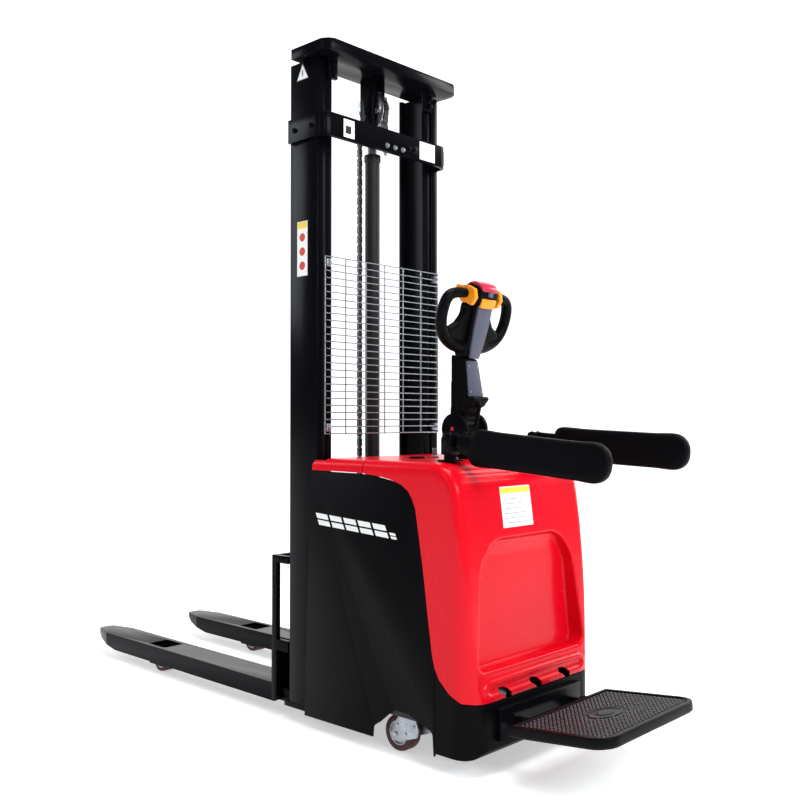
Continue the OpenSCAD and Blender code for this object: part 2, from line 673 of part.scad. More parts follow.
// closed loop handles either side of the head
module loop_outline() difference() {
    offset(r = 16) polygon([[76, 190], [108, 188], [134, 176], [handle_w / 2 - 18, 148], [handle_w / 2 - 16, 112], [handle_w / 2 - 36, 66], [92, 38], [52, 26], [40, 44], [40, 60], [56, 84], [70, 150]]);
    offset(r = 12) polygon([[74, 156], [104, 158], [116, 150], [118, 120], [104, 98], [92, 94], [74, 112]]);
    translate([-100, -10]) square([138, 300]);
    translate([0, 142]) square([67, 200]);
}
module handle_loops() color(black) at_head() both() {
    front(-16, 16) loop_outline();
    xcyl(10, 42, 72, 0, 189);
}

// throttle: one turning wing on each side of the head
module throttle() color(orange) at_head() both() difference() {
    union() {
        xcyl(26, 51.5, 65.5, 0, 189);
        side(51.5, 65.5) offset(r = 6) polygon([[-10, 170], [-26, 166], [-34, 184], [-26, 204], [-8, 208]]);
        side(51.5, 65.5) offset(r = 5) polygon([[10, 182], [34, 196], [36, 206], [10, 206]]);
    }
    xcyl(10 + run, 40, 80, 0, 189);
}

// belly button on top of the head
module belly_button() color([0.85, 0.12, 0.25]) at_head() union() {
    side(-26, 26) polygon([[27, 218], [27, 224], [14, 233], [0, 236], [-14, 233], [-23, 226], [-23, 218]]);
}

// lift and lower rocker in the driver side of the cap
module lift_rocker() color([0.3, 0.3, 0.32]) at_head() side(-9.6, 9.6) polygon([[-46, 191], [-43.5, 198], [-46, 205], [-34, 205], [-34, 191]]);

// ------------------------------------------------------------- wheels

// caster fork: top plate, swivel pin and two cheeks
module caster_fork(x) translate([x, caster_y, 0]) union() {
    translate([0, 0, caster_r * 2 + 7]) cylinder(r = 24, h = deck_z - caster_r * 2 - 7 - 0.4);
    translate([0, 0, caster_r * 2 + 4]) cylinder(r = 8, h = deck_z - caster_r * 2 + 6);
    box([-31, -30, caster_r * 2 + 3], [31, 34, caster_r * 2 + 8]);
    for (s = [0, 1]) mirror([s, 0, 0]) side(26, 31) offset(r = 5) polygon([[-25, 103], [-34, 80], [-30, 60], [trail - 20, 40], [trail + 6, 36], [trail + 14, 50], [trail + 8, 66], [29, 103]]);
    xcyl(7, -35, 35, trail, caster_r);
    for (s = [0, 1]) mirror([s, 0, 0]) xcyl(12, caster_w / 2 + 0.5, 28, trail, caster_r);
    for (s = [0, 1]) mirror([s, 0, 0]) for (p = [[-24, 84], [8, 58], [trail - 6, 78]]) xcyl(5, 30, 34, p[0], p[1]);
}
module caster_fork_right() color(steel) at_mast() caster_fork(caster_x);
module caster_fork_left() color(steel) at_mast() caster_fork(-caster_x);

module caster_wheel(x) difference() {
    xcyl(caster_r, x - caster_w / 2, x + caster_w / 2, caster_y + trail, caster_r);
    xcyl(7 + run, x - 60, x + 60, caster_y + trail, caster_r);
    for (s = [-1, 1]) translate([s * (caster_w / 2 - 2), 0, 0]) xcyl(32, x - 3, x + 3, caster_y + trail, caster_r);
}
module caster_wheel_right() color(tread) at_mast() caster_wheel(caster_x);
module caster_wheel_left() color(tread) at_mast() caster_wheel(-caster_x);

module load_wheel() difference() {
    xcyl(load_r, fork_c - load_w / 2, fork_c + load_w / 2, load_y, load_r);
    xcyl(10 + run, fork_c - 60, fork_c + 60, load_y, load_r);
}
module load_wheel_right() color(tread) at_mast() load_wheel();
module load_wheel_left() color(tread) at_mast() mirror([1, 0, 0]) load_wheel();

// ------------------------------------------------------------- platform, arms

// lugs and hinge pins behind the skirt
module platform_bracket() color(black) at_mast() union() {
    box([-190, -hood_back - 14, 84], [190, -hood_back, 168]);
    both() side(120, 134) offset(r = 6) polygon([[-624, 92], [-624, 134], [hinge_y - 8, hinge_z + 6], [hinge_y - 8, hinge_z - 8]]);
    both() xcyl(8, 118, 158, hinge_y, hinge_z);
}

module plat_outline(d = 0) intersection() {
    offset(r = 60 - d) translate([-plat_w / 2 + 60, -plat_end + 62]) square([plat_w - 120, plat_end - 662]);
    translate([-400, -plat_end - 20]) square([800, plat_end + 20 + plat_root - d]);
}

// folding platform with a raised rim
module platform() color(black) at_mast() difference() {
    union() {
        translate([0, hinge_y, hinge_z]) rotate([-plat_tilt, 0, 0]) translate([0, -hinge_y, -hinge_z]) {
            translate([0, 0, 150 - plat_t]) linear_extrude(height = plat_t - 4) plat_outline();
            translate([0, 0, 145]) linear_extrude(height = 5) difference() {
                plat_outline();
                plat_outline(12);
            }
        }
        both() side(136, 152) offset(r = 6) polygon([[hinge_y + 8, hinge_z - 8], [hinge_y + 8, hinge_z + 8], [-720, 144], [-720, 126]]);
    }
    both() xcyl(8 + run, 100, 180, hinge_y, hinge_z);
}

// one side arm: bar, neck and pad, turning up about its root
module arm(play) translate([arm_x, arm_y, arm_z]) rotate([arm_slope + play, 0, 0]) difference() {
    union() {
        xcyl(17, -10, 10, 0, 0);
        side(-8, 8) offset(r = 6) polygon([[4, -10], [4, 12], [-110, 12], [-110, -30], [-80, -30], [-60, -12]]);
        side(-14, 14) offset(r = 4) polygon([[-38, -18], [-38, 10], [-90, 10], [-90, -42], [-58, -34]]);
        side(-pad_t / 2, pad_t / 2) difference() {
            hull() {
                translate([-75 - 28, -14 + pad_h / 2 - 28]) circle(r = 28);
                translate([-75 - 28, -14 - pad_h / 2 + 28]) circle(r = 28);
                translate([-75 - pad_len + 46, -14 + pad_h / 2 - 46]) circle(r = 46);
                translate([-75 - pad_len + 46, -14 - pad_h / 2 + 46]) circle(r = 46);
            }
        }
    }
    xcyl(8 + run, -40, 40, 0, 0);
}
module arm_right() color(black) at_mast() arm(-arm_play);
module arm_left() color(black) at_mast() mirror([1, 0, 0]) arm(arm_play);

chassis_frame();
leg_frame();
mast_channel_left();
mast_channel_right();
crossbar();
chain_anchor();
cylinder_barrel();
mesh_guard();
side_panel_left();
side_panel_right();
rear_skirt();
hood();
battery_lid();
battery();
power_pack();
hydraulic_hose();
controller();
meter();
key_lock();
arm_posts();
platform_bracket();
labels();
chain_front();
inner_channel_left();
inner_channel_right();
inner_tie();
top_plate();
wheel_bracket();
lift_rod();
chain_rear();
chain_wrap();
chain_wheel();
carriage_frame();
backrest();
fork_left();
fork_right();
mast_rollers();
carriage_rollers_lower();
carriage_rollers_upper();
drive_yoke();
drive_motor();
tiller_base();
drive_wheel();
tiller_column();
column_cover();
tiller_head();
handle_loops();
throttle();
belly_button();
lift_rocker();
caster_fork_left();
caster_fork_right();
caster_wheel_left();
caster_wheel_right();
load_wheel_left();
load_wheel_right();
platform();
arm_left();
arm_right();
key();
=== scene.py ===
# %% [markdown]
# # A ride-on electric pallet stacker
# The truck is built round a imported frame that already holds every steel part, joint and size in metres.
# This lesson gives that frame its looks: soft moulded covers, rounded steel, real wires and chain
# links, foam arm pads, a studded rubber mat, and a finish for each of them.
# Places are written in millimetres from the driver's side face of the mast, because that is the face
# that everything on a stacker is bolted to, and a small helper turns them into metres.

# %% Load the frame
import json
import math

import bpy
from mathutils import Matrix, Vector

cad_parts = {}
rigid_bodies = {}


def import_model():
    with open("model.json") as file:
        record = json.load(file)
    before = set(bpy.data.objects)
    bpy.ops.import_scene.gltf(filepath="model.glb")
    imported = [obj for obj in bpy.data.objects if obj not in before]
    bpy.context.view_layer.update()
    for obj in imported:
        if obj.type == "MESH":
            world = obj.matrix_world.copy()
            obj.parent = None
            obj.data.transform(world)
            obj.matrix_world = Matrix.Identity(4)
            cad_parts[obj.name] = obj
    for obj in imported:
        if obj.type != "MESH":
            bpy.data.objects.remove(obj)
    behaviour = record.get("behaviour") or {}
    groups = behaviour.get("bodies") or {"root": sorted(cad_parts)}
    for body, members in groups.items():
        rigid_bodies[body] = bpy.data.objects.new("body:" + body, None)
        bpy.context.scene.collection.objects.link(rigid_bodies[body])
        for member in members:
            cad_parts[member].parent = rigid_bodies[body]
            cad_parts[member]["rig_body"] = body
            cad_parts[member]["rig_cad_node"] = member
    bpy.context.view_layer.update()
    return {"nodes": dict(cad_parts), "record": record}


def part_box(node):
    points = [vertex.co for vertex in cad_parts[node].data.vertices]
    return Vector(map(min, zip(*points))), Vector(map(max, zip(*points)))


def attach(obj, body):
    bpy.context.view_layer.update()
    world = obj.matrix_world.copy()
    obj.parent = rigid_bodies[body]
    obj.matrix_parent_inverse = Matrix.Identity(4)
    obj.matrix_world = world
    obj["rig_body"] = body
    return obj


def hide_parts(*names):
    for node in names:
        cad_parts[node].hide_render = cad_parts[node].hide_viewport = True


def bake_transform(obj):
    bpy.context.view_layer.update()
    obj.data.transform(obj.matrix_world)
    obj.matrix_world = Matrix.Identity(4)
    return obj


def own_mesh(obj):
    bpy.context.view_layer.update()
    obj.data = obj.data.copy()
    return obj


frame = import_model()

MM = 0.001
SIDES = ((-1, "left"), (1, "right"))
mast_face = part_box("mast_channel_left")[0].y
print("frame of", len(frame["nodes"]), "nodes, mast face at y =", round(mast_face, 3))


def at(x, y, z):
    """A place in millimetres from the middle of the mast face, in metres in the frame."""
    return Vector((x * MM, mast_face + y * MM, z * MM))


# %% [markdown]
# ## Camera, floor and light
# The camera stands low on the driver's left and looks almost level, so the mast stays upright. A
# pale floor runs up behind as one sheet. Large soft lights give long reflections: black paint shows
# its shape only by what it reflects, so a tall strip on each side matters more than brightness.

# %% Camera
CAMERA_PLACE = at(-2208, -2173, 936)
CAMERA_HEADING = 46.6
CAMERA_PITCH = 1.1
CAMERA_LENS = 42.9
SENSOR_WIDTH = 36
camera_data = bpy.data.cameras.new("camera")
camera_data.lens = CAMERA_LENS
camera_data.sensor_width = SENSOR_WIDTH
camera = bpy.data.objects.new("camera", camera_data)
camera.location = CAMERA_PLACE
camera.rotation_euler = (math.radians(90 + CAMERA_PITCH), 0, math.radians(-CAMERA_HEADING))
bpy.context.scene.collection.objects.link(camera)
bpy.context.scene.camera = camera
print("camera at", [round(v, 2) for v in camera.location])

# %% Tools for selecting, placing and applying


def clear():
    """Leaves edit mode and deselects everything."""
    if bpy.context.mode != "OBJECT":
        bpy.ops.object.mode_set(mode="OBJECT")
    bpy.ops.object.select_all(action="DESELECT")


def only(*pieces):
    """Selects these pieces alone, the first one active."""
    clear()
    for piece in pieces:
        piece.select_set(True)
    bpy.context.view_layer.objects.active = pieces[0]


def settle(piece):
    """Puts the place, turn and size of a piece into its mesh."""
    only(piece)
    bpy.ops.object.transform_apply(location=True, rotation=True, scale=True)
    return piece


def edit(piece, mode="FACE", every=False):
    """Enters edit mode with all or nothing selected."""
    only(piece)
    bpy.ops.object.mode_set(mode="EDIT")
    bpy.ops.mesh.select_mode(type=mode)
    bpy.ops.mesh.select_all(action="SELECT" if every else "DESELECT")


def pick(piece, mode, test):
    """Enters edit mode with the vertices, edges or faces selected that pass the test."""
    edit(piece, mode)
    bpy.ops.object.mode_set(mode="OBJECT")
    mesh = piece.data
    for part in {"VERT": mesh.vertices, "EDGE": mesh.edges, "FACE": mesh.polygons}[mode]:
        part.select = bool(test(part))
    bpy.ops.object.mode_set(mode="EDIT")


def ends(piece, edge):
    """The two end points of an edge."""
    a, b = edge.vertices
    return piece.data.vertices[a].co, piece.data.vertices[b].co


def bevel_picked(width, segments):
    """Bevels the picked edges by a width in millimetres and leaves edit mode."""
    bpy.ops.mesh.bevel(offset=width * MM, segments=segments, affect="EDGES")
    bpy.ops.object.mode_set(mode="OBJECT")


def with_modifier(piece, kind, **settings):
    """Adds a modifier, sets it and applies it."""
    only(piece)
    modifier = piece.modifiers.new(kind.lower(), kind)
    for key, value in settings.items():
        setattr(modifier, key, value)
    bpy.ops.object.modifier_apply(modifier=modifier.name)
    return piece


def smooth(piece, degrees=35):
    """Smooth shading, except over edges sharper than this."""
    only(piece)
    bpy.ops.object.shade_smooth_by_angle(angle=math.radians(degrees))
    return piece


def rounded(piece, width, segments=3, degrees=40):
    """Rounds every edge sharper than the angle, by a width in millimetres."""
    with_modifier(
        piece, "BEVEL", width=width * MM, segments=segments, limit_method="ANGLE",
        angle_limit=math.radians(degrees), use_clamp_overlap=True,
    )
    return smooth(piece)


print("tools ready")

# %% Floor
clear()
bpy.ops.mesh.primitive_grid_add(x_subdivisions=1, y_subdivisions=12, size=1)
floor = settle(bpy.context.object)
floor.name = "studio_floor"
FLOOR_SIZE = 26
FLOOR_BEFORE = 9
SWEEP_START = 8.0
SWEEP_HEIGHT = 12.5
for vertex in floor.data.vertices:
    along = (vertex.co.y + 0.5) * FLOOR_SIZE - FLOOR_BEFORE
    rise = max(0.0, along - SWEEP_START) / (FLOOR_SIZE - FLOOR_BEFORE - SWEEP_START)
    vertex.co = (vertex.co.x * FLOOR_SIZE, along, SWEEP_HEIGHT * rise**2)
floor.data.transform(Matrix.Rotation(math.radians(-CAMERA_HEADING), 4, "Z"))
smooth(floor, 60)


def softbox(name, place, target, width, height, power, colour=(1, 1, 1)):
    """A rectangular studio light that faces its target."""
    data = bpy.data.lights.new(name, "AREA")
    data.shape = "RECTANGLE"
    data.size = width
    data.size_y = height
    data.energy = power
    data.color = colour
    light = bpy.data.objects.new(name, data)
    light.location = place
    light.rotation_euler = (Vector(target) - Vector(place)).to_track_quat("-Z", "Y").to_euler()
    bpy.context.scene.collection.objects.link(light)


# %% Soft lights
TARGET = (0, -0.2, 0.9)
softbox("driver_side", (-0.6, -4.8, 3.0), TARGET, 2.6, 2.2, 165)
softbox("left_side", (-4.4, 0.2, 2.6), TARGET, 1.0, 3.2, 14)
softbox("top", (0.2, -0.9, 5.0), (0, -0.4, 0), 2.4, 2.4, 170)
softbox("right_side", (4.2, -1.6, 2.4), TARGET, 1.2, 3.4, 80)
softbox("fork_side", (-2.4, 3.8, 2.8), TARGET, 1.8, 2.0, 50, (0.88, 0.94, 1.0))
world = bpy.data.worlds.new("studio")
bpy.context.scene.world = world
world.use_nodes = True
sky = world.node_tree.nodes["Background"].inputs
sky["Color"].default_value = (0.90, 0.94, 1.0, 1)
sky["Strength"].default_value = 0.2
bpy.context.scene.view_settings.view_transform = "Standard"
print("5 softboxes, a floor and a plain view transform")

# %% [markdown]
# ## Shared effects
# Paint, plastic, rubber and steel all wear at their edges, gather dust on top and have some grain.
# Each effect is a node group built once, with sockets for its values, and every material places it
# with its own numbers. A group only puts out masks, heights and normals: the shader stays outside.

# %% A helper for node trees


def tree_tools(tree):
    """Returns a function that adds a node to a tree, with its sockets given by value or by link."""

    def add(kind, inputs=None, **settings):
        node = tree.nodes.new(kind)
        for key, value in settings.items():
            setattr(node, key, value)
        for key, value in (inputs or {}).items():
            if isinstance(value, bpy.types.NodeSocket):
                tree.links.new(value, node.inputs[key])
            else:
                node.inputs[key].default_value = value
        return node

    return add


def times(add, a, b, **settings):
    """The product of two values."""
    return add("ShaderNodeMath", {0: a, 1: b}, operation="MULTIPLY", **settings).outputs[0]


def ramp(add, value, **limits):
    """A value mapped to another range, with limits such as from_min and to_max."""
    named = {label.replace("_", " ").title(): number for label, number in limits.items()}
    return add("ShaderNodeMapRange", {"Value": value, **named}).outputs[0]


def noise(add, place, scale, detail):
    """Soft noise between 0 and 1."""
    return add("ShaderNodeTexNoise", {"Vector": place, "Scale": scale, "Detail": detail}).outputs[0]


def mixed_colour(add, factor, a, b):
    """A colour between two colours."""
    return add("ShaderNodeMix", {"Factor": factor, "A": a, "B": b}, data_type="RGBA").outputs["Result"]


def blank(name):
    """A new material: itself, its node adder, its shader's sockets, its linker and object coordinates."""
    material = bpy.data.materials.new(name)
    material.use_nodes = True
    tree = material.node_tree
    add = tree_tools(tree)
    place = add("ShaderNodeTexCoord").outputs["Object"]
    return material, add, tree.nodes["Principled BSDF"].inputs, tree.links.new, place


def effect(name, inputs, outputs):
    """A new shader node group with named sockets, and its object coordinates."""
    group = bpy.data.node_groups.new(name, "ShaderNodeTree")
    for label, value in inputs.items():
        socket = group.interface.new_socket(name=label, in_out="INPUT", socket_type="NodeSocketFloat")
        socket.default_value = value
    for label, kind in outputs.items():
        group.interface.new_socket(name=label, in_out="OUTPUT", socket_type="NodeSocket" + kind)
    add = tree_tools(group)
    given, result = add("NodeGroupInput").outputs, add("NodeGroupOutput").inputs
    return group, add, given, result, group.links.new, add("ShaderNodeTexCoord").outputs["Object"]


# %% The paper of the floor glows a little far behind the truck, so that it stays white
paper, add, shader, link, place = blank("studio paper")
shader["Base Color"].default_value = (0.86, 0.87, 0.88, 1)
shader["Roughness"].default_value = 0.7
away = add("ShaderNodeVectorMath", {0: place}, operation="LENGTH").outputs["Value"]
link(ramp(add, away, from_min=0.8, from_max=4.5, to_min=0.5, to_max=0.95), shader["Emission Strength"])
shader["Emission Color"].default_value = (1, 1, 1, 1)
floor.data.materials.append(paper)


# %% Worn edges
wear_group, add, given, result, link, place = effect(
    "Worn Edges", {"Radius": 0.0015, "Amount": 0.3, "Grit": 60.0}, {"Mask": "Float", "Normal": "Vector"}
)
bevel = add("ShaderNodeBevel", {"Radius": given["Radius"]}, samples=4).outputs[0]
face = add("ShaderNodeNewGeometry").outputs["Normal"]
dot = add("ShaderNodeVectorMath", {0: bevel, 1: face}, operation="DOT_PRODUCT").outputs["Value"]
edge = ramp(add, dot, from_min=0.99, from_max=0.80)
patch = ramp(add, noise(add, place, given["Grit"], 4.0), from_min=0.48, from_max=0.66)
link(times(add, times(add, edge, patch), given["Amount"], use_clamp=True), result["Mask"])
link(bevel, result["Normal"])

# %% Dust that lies on what faces up
dust_group, add, given, result, link, place = effect(
    "Dust", {"Amount": 0.2, "Patch Size": 7.0}, {"Mask": "Float"}
)
up = add("ShaderNodeSeparateXYZ", {0: add("ShaderNodeNewGeometry").outputs["Normal"]}).outputs["Z"]
mottle = times(add, noise(add, place, given["Patch Size"], 6.0), noise(add, place, 900.0, 2.0))
lifted = ramp(add, mottle, from_min=0.14, from_max=0.42)
both = times(add, ramp(add, up, from_min=0.2, from_max=1.0), lifted)
link(times(add, both, given["Amount"], use_clamp=True), result["Mask"])

# %% Grain: pores of a moulded or painted skin, and slow waves under it
grain_group, add, given, result, link, place = effect(
    "Grain", {"Pore Scale": 900.0, "Pore Depth": 0.5, "Wave Scale": 14.0, "Wave Depth": 0.5},
    {"Height": "Float"},
)
pores = add("ShaderNodeTexVoronoi", {"Vector": place, "Scale": given["Pore Scale"]}, feature="SMOOTH_F1")
deep = times(add, pores.outputs["Distance"], given["Pore Depth"])
slow = times(add, noise(add, place, given["Wave Scale"], 2.0), given["Wave Depth"])
link(add("ShaderNodeMath", {0: deep, 1: slow}, operation="ADD").outputs[0], result["Height"])

# %% Scuffs: fine lines in all directions, as from wiping and handling
scuff_group, add, given, result, link, place = effect(
    "Scuffs", {"Amount": 0.3, "Scale": 9.0}, {"Mask": "Float"}
)
lines = []
for turn, stretch in ((20, 26.0), (75, 40.0)):
    angle = math.radians(turn)
    turned_place = add(
        "ShaderNodeMapping", {"Vector": place, "Rotation": (angle, 0.4, angle), "Scale": (1.0, stretch, 1.6)}
    ).outputs[0]
    lines.append(ramp(add, noise(add, turned_place, given["Scale"], 3.0), from_min=0.62, from_max=0.74))
crossing = add("ShaderNodeMath", {0: lines[0], 1: lines[1]}, operation="MAXIMUM").outputs[0]
link(times(add, crossing, given["Amount"], use_clamp=True), result["Mask"])
print("effects:", [group.name for group in bpy.data.node_groups])

# %% [markdown]
# ## The finishes
# One function lays a coat: a base colour that drifts a little, roughness that varies with scuffs and
# dust, worn edges that show what is under the coat, and pores as bump. What sets satin enamel apart
# from moulded plastic or rubber is the numbers, so each finish is a line of them.

# %% One coat for paint, plastic and rubber
DUST_COLOUR = (0.34, 0.32, 0.29, 1)
DUST_ROUGHNESS = 0.6
SCUFF_ROUGHNESS = 0.35


def group_node(add, group, **values):
    """Places an effect in a material, with its named values such as pore_scale."""
    named = {label.replace("_", " ").title(): value for label, value in values.items()}
    return add("ShaderNodeGroup", named, node_tree=group).outputs


def relief(add, link, shader, height, normal, strength, distance):
    """Bumps a shader by a height, on a normal with soft edges."""
    bump = {"Height": height, "Normal": normal, "Strength": strength, "Distance": distance}
    link(add("ShaderNodeBump", bump).outputs[0], shader["Normal"])


def coat(
    name, colour, under=(0.25, 0.25, 0.26), roughness=0.35, clear_coat=0.0, wear=0.25, radius=1.2, dust=0.15,
    pores=900, pore_depth=0.4, bump=0.15, waves=0.6, scuffs=0.25, drift=0.25, specular=0.3,
):
    """A procedural finish. Radius is the soft edge in millimetres, drift how far the colour wanders."""
    material, add, shader, link, place = blank(name)
    edges = group_node(add, wear_group, radius=radius * MM, amount=wear)
    lying = group_node(add, dust_group, amount=dust)["Mask"]
    skin = group_node(add, grain_group, pore_scale=pores, pore_depth=pore_depth, wave_depth=waves)
    rubbed = group_node(add, scuff_group, amount=scuffs)["Mask"]
    darker = tuple(channel * (1 - drift) for channel in colour) + (1,)
    lighter = tuple(min(1, channel * (1 + drift) + 0.002) for channel in colour) + (1,)
    tone = mixed_colour(add, noise(add, place, 5.0, 5.0), darker, lighter)
    worn = mixed_colour(add, edges["Mask"], tone, under + (1,))
    link(mixed_colour(add, lying, worn, DUST_COLOUR), shader["Base Color"])
    rubbed_rough = ramp(add, rubbed, to_min=roughness, to_max=min(1.0, roughness + SCUFF_ROUGHNESS))
    dusty_rough = add(
        "ShaderNodeMath", {0: lying, 1: DUST_ROUGHNESS, 2: rubbed_rough}, operation="MULTIPLY_ADD",
        use_clamp=True,
    )
    link(dusty_rough.outputs[0], shader["Roughness"])
    relief(add, link, shader, skin["Height"], edges["Normal"], bump, 0.001)
    shader["Coat Weight"].default_value = clear_coat
    shader["Coat Roughness"].default_value = 0.06
    shader["Specular IOR Level"].default_value = specular
    return material


black_enamel = coat(
    "black enamel", (0.0012, 0.0014, 0.0025), under=(0.012, 0.012, 0.016), roughness=0.22, wear=0.16,
    radius=1.4, dust=0.03, pores=260, pore_depth=0.25, bump=0.05, waves=1.2, scuffs=0.06, specular=0.055,
)
frame_enamel = coat(
    "frame enamel", (0.006, 0.0065, 0.0075), roughness=0.45, wear=0.35, dust=0.12, pores=500, bump=0.1,
    scuffs=0.4,
)
red_gloss = coat(
    "red gloss", (0.70, 0.0015, 0.012), under=(0.8, 0.05, 0.06), roughness=0.26, clear_coat=0.12, wear=0.35,
    radius=2.0, dust=0.0, pores=160, pore_depth=0.06, bump=0.03, waves=0.9, scuffs=0.12, drift=0.06,
    specular=0.10,
)
black_shell = coat(
    "black moulded shell", (0.0012, 0.0012, 0.0018), under=(0.02, 0.02, 0.024), roughness=0.38, wear=0.4,
    radius=1.0, dust=0.02, pores=1500, pore_depth=0.5, bump=0.18, scuffs=0.06, specular=0.045,
)
grey_shell = coat(
    "grey blue shell", (0.072, 0.078, 0.115), under=(0.2, 0.21, 0.27), roughness=0.38, wear=0.3, radius=0.9,
    dust=0.02, pores=1500, bump=0.14, drift=0.15,
)
orange_shell = coat(
    "orange shell", (0.95, 0.30, 0.008), under=(1.0, 0.6, 0.2), roughness=0.34, wear=0.3, radius=0.8,
    dust=0.02, pores=1500, bump=0.08, drift=0.08,
)
button_shell = coat(
    "button red shell", (0.52, 0.012, 0.045), under=(0.8, 0.2, 0.25), roughness=0.3, clear_coat=0.3,
    radius=0.8, dust=0.02, pores=1600, bump=0.06, drift=0.08,
)
foam_skin = coat(
    "foam skin", (0.0012, 0.0012, 0.002), under=(0.006, 0.006, 0.008), roughness=0.45, wear=0.1, radius=2.0,
    dust=0.02, pores=420, pore_depth=0.9, bump=0.22, waves=1.6, scuffs=0.12, specular=0.04,
)
mat_rubber = coat(
    "studded rubber", (0.0012, 0.0014, 0.0022), under=(0.012, 0.014, 0.02), roughness=0.36, wear=0.35,
    radius=0.8, dust=0.0, pores=700, pore_depth=0.8, bump=0.2, scuffs=0.08, specular=0.06,
)
# The studs are the mat's own rubber: their lighter, bluer base and edge colour are a painted glint, and their
# low roughness and high specular give real gloss.
stud_rubber_painted_glint = coat(
    "studs with painted glint", (0.004, 0.005, 0.009), under=(0.05, 0.06, 0.09), roughness=0.26, wear=0.4, radius=0.6,
    dust=0.0, pore_depth=0.3, bump=0.1, scuffs=0.1, specular=0.6,
)
tread_rubber = coat(
    "reddish tread", (0.06, 0.018, 0.012), under=(0.12, 0.05, 0.04), roughness=0.5, wear=0.3, radius=1.5,
    dust=0.12, pores=380, pore_depth=0.5, bump=0.2, waves=1.4, scuffs=0.5, drift=0.3,
)
motor_casting = coat(
    "motor casting", (0.045, 0.048, 0.052), roughness=0.55, wear=0.3, dust=0.35, pores=320, bump=0.4,
    scuffs=0.3,
)
battery_shell = coat("battery case", (0.03, 0.036, 0.045), roughness=0.5, dust=0.35, pores=1200, bump=0.2)
hose_rubber = coat(
    "hose rubber", (0.014, 0.014, 0.015), roughness=0.55, wear=0.1, dust=0.2, pores=1100, bump=0.3
)
print("coats:", len(bpy.data.materials))

# %% [markdown]
# ## Bare metal
# Zinc plating is a soft, cloudy grey with a spangle of slightly different crystals. Ground steel has
# fine lines across it and picks up darker oil in places. Both are metallic all through, so only their
# colour and roughness change over the surface.

# %% Zinc and ground steel


def bare_metal(name, colour, dark, roughness, spangle=0.0, lines=0.0, bump=0.1):
    """A metallic finish with crystals, ground lines or both."""
    material, add, shader, link, place = blank(name)
    edges = group_node(add, wear_group, radius=0.6 * MM)
    crystals = add("ShaderNodeTexVoronoi", {"Vector": place, "Scale": 240.0})
    shade = add("ShaderNodeSeparateXYZ", {0: crystals.outputs["Color"]}).outputs["X"]
    cloudy = add(
        "ShaderNodeMath", {0: shade, 1: spangle, 2: noise(add, place, 22.0, 6.0)}, operation="MULTIPLY_ADD",
        use_clamp=True,
    ).outputs[0]
    link(mixed_colour(add, cloudy, dark + (1,), colour + (1,)), shader["Base Color"])
    link(ramp(add, cloudy, to_min=roughness + 0.14, to_max=roughness - 0.06), shader["Roughness"])
    drawn = add("ShaderNodeMapping", {"Vector": place, "Scale": (40.0, 40.0, 900.0)}).outputs[0]
    height = times(add, noise(add, drawn, 1.0, 3.0), lines)
    relief(add, link, shader, height, edges["Normal"], bump, 0.0005)
    shader["Metallic"].default_value = 1.0
    return material


zinc_plate = bare_metal("zinc plate", (0.40, 0.42, 0.46), (0.20, 0.21, 0.24), 0.36, spangle=0.5)
ground_steel = bare_metal("ground steel", (0.66, 0.66, 0.67), (0.40, 0.40, 0.41), 0.26, lines=1.0, bump=0.2)
chain_steel = bare_metal("oiled chain steel", (0.20, 0.20, 0.21), (0.05, 0.05, 0.055), 0.36, spangle=0.2)
print("metals:", zinc_plate.name, ground_steel.name, chain_steel.name)

# %% Printed film


def print_film(name, colour):
    """A printed plastic film: even colour, faint fibres, slightly glossy, grubby at its rim."""
    return coat(
        name, colour, under=tuple(c * 0.6 for c in colour), roughness=0.38, wear=0.4, radius=0.6, dust=0.05,
        pores=2200, pore_depth=0.3, bump=0.05, scuffs=0.3, drift=0.05,
    )


white_film = print_film("white film", (0.86, 0.87, 0.86))
yellow_film = print_film("yellow film", (0.90, 0.62, 0.05))
red_film = print_film("red film", (0.60, 0.04, 0.03))
black_film = print_film("black film", (0.02, 0.02, 0.02))
print("films:", 4)

# %% [markdown]
# ## Covers: one soft body, cut into its mouldings
# The hood, the battery lid and the rear skirt of a stacker are moulded to one flowing shape and meet
# at narrow seams. Modelled one by one they would never line up, so the whole body is shaped first:
# a side outline is extruded across, its edges are bevelled, a plan shape trims the rear corners and
# the knee recess is cut in. A voxel remesh and a few rounds of smoothing then melt the edges the way
# a mould does, and each moulding is cut out of that one skin.

# %% A flat outline extruded into a plate


def plate(name, outline, across, low, high):
    """Extrudes an outline in millimetres along an axis. The outline holds the two other axes in order."""
    clear()
    bpy.ops.mesh.primitive_circle_add(vertices=len(outline), fill_type="NGON")
    piece = bpy.context.object
    piece.name = name
    axis = "XYZ".index(across)
    for vertex, (a, b) in zip(piece.data.vertices, outline):
        place = [a, b]
        place.insert(axis, low)
        vertex.co = at(*place)
    step = [0, 0, 0]
    step[axis] = 1
    edit(piece, "FACE", every=True)
    bpy.ops.mesh.extrude_region_move(TRANSFORM_OT_translate={"value": Vector(step) * (high - low) * MM})
    bpy.ops.mesh.select_all(action="SELECT")
    bpy.ops.mesh.normals_make_consistent(inside=False)
    bpy.ops.object.mode_set(mode="OBJECT")
    piece.location = (0, 0, 0)
    return piece


def block(name, low, high):
    """A box between two corners in millimetres."""
    clear()
    low, high = at(*low), at(*high)
    bpy.ops.mesh.primitive_cube_add(size=1, location=(low + high) / 2, scale=high - low)
    piece = bpy.context.object
    piece.name = name
    return settle(piece)


def rod(name, radius, start, end, sides=24):
    """A round bar between two places in millimetres."""
    clear()
    start, end = at(*start), at(*end)
    along = end - start
    bpy.ops.mesh.primitive_cylinder_add(
        vertices=sides, radius=radius * MM, depth=along.length, location=(start + end) / 2,
        rotation=along.to_track_quat("Z", "Y").to_euler(),
    )
    piece = bpy.context.object
    piece.name = name
    return settle(piece)


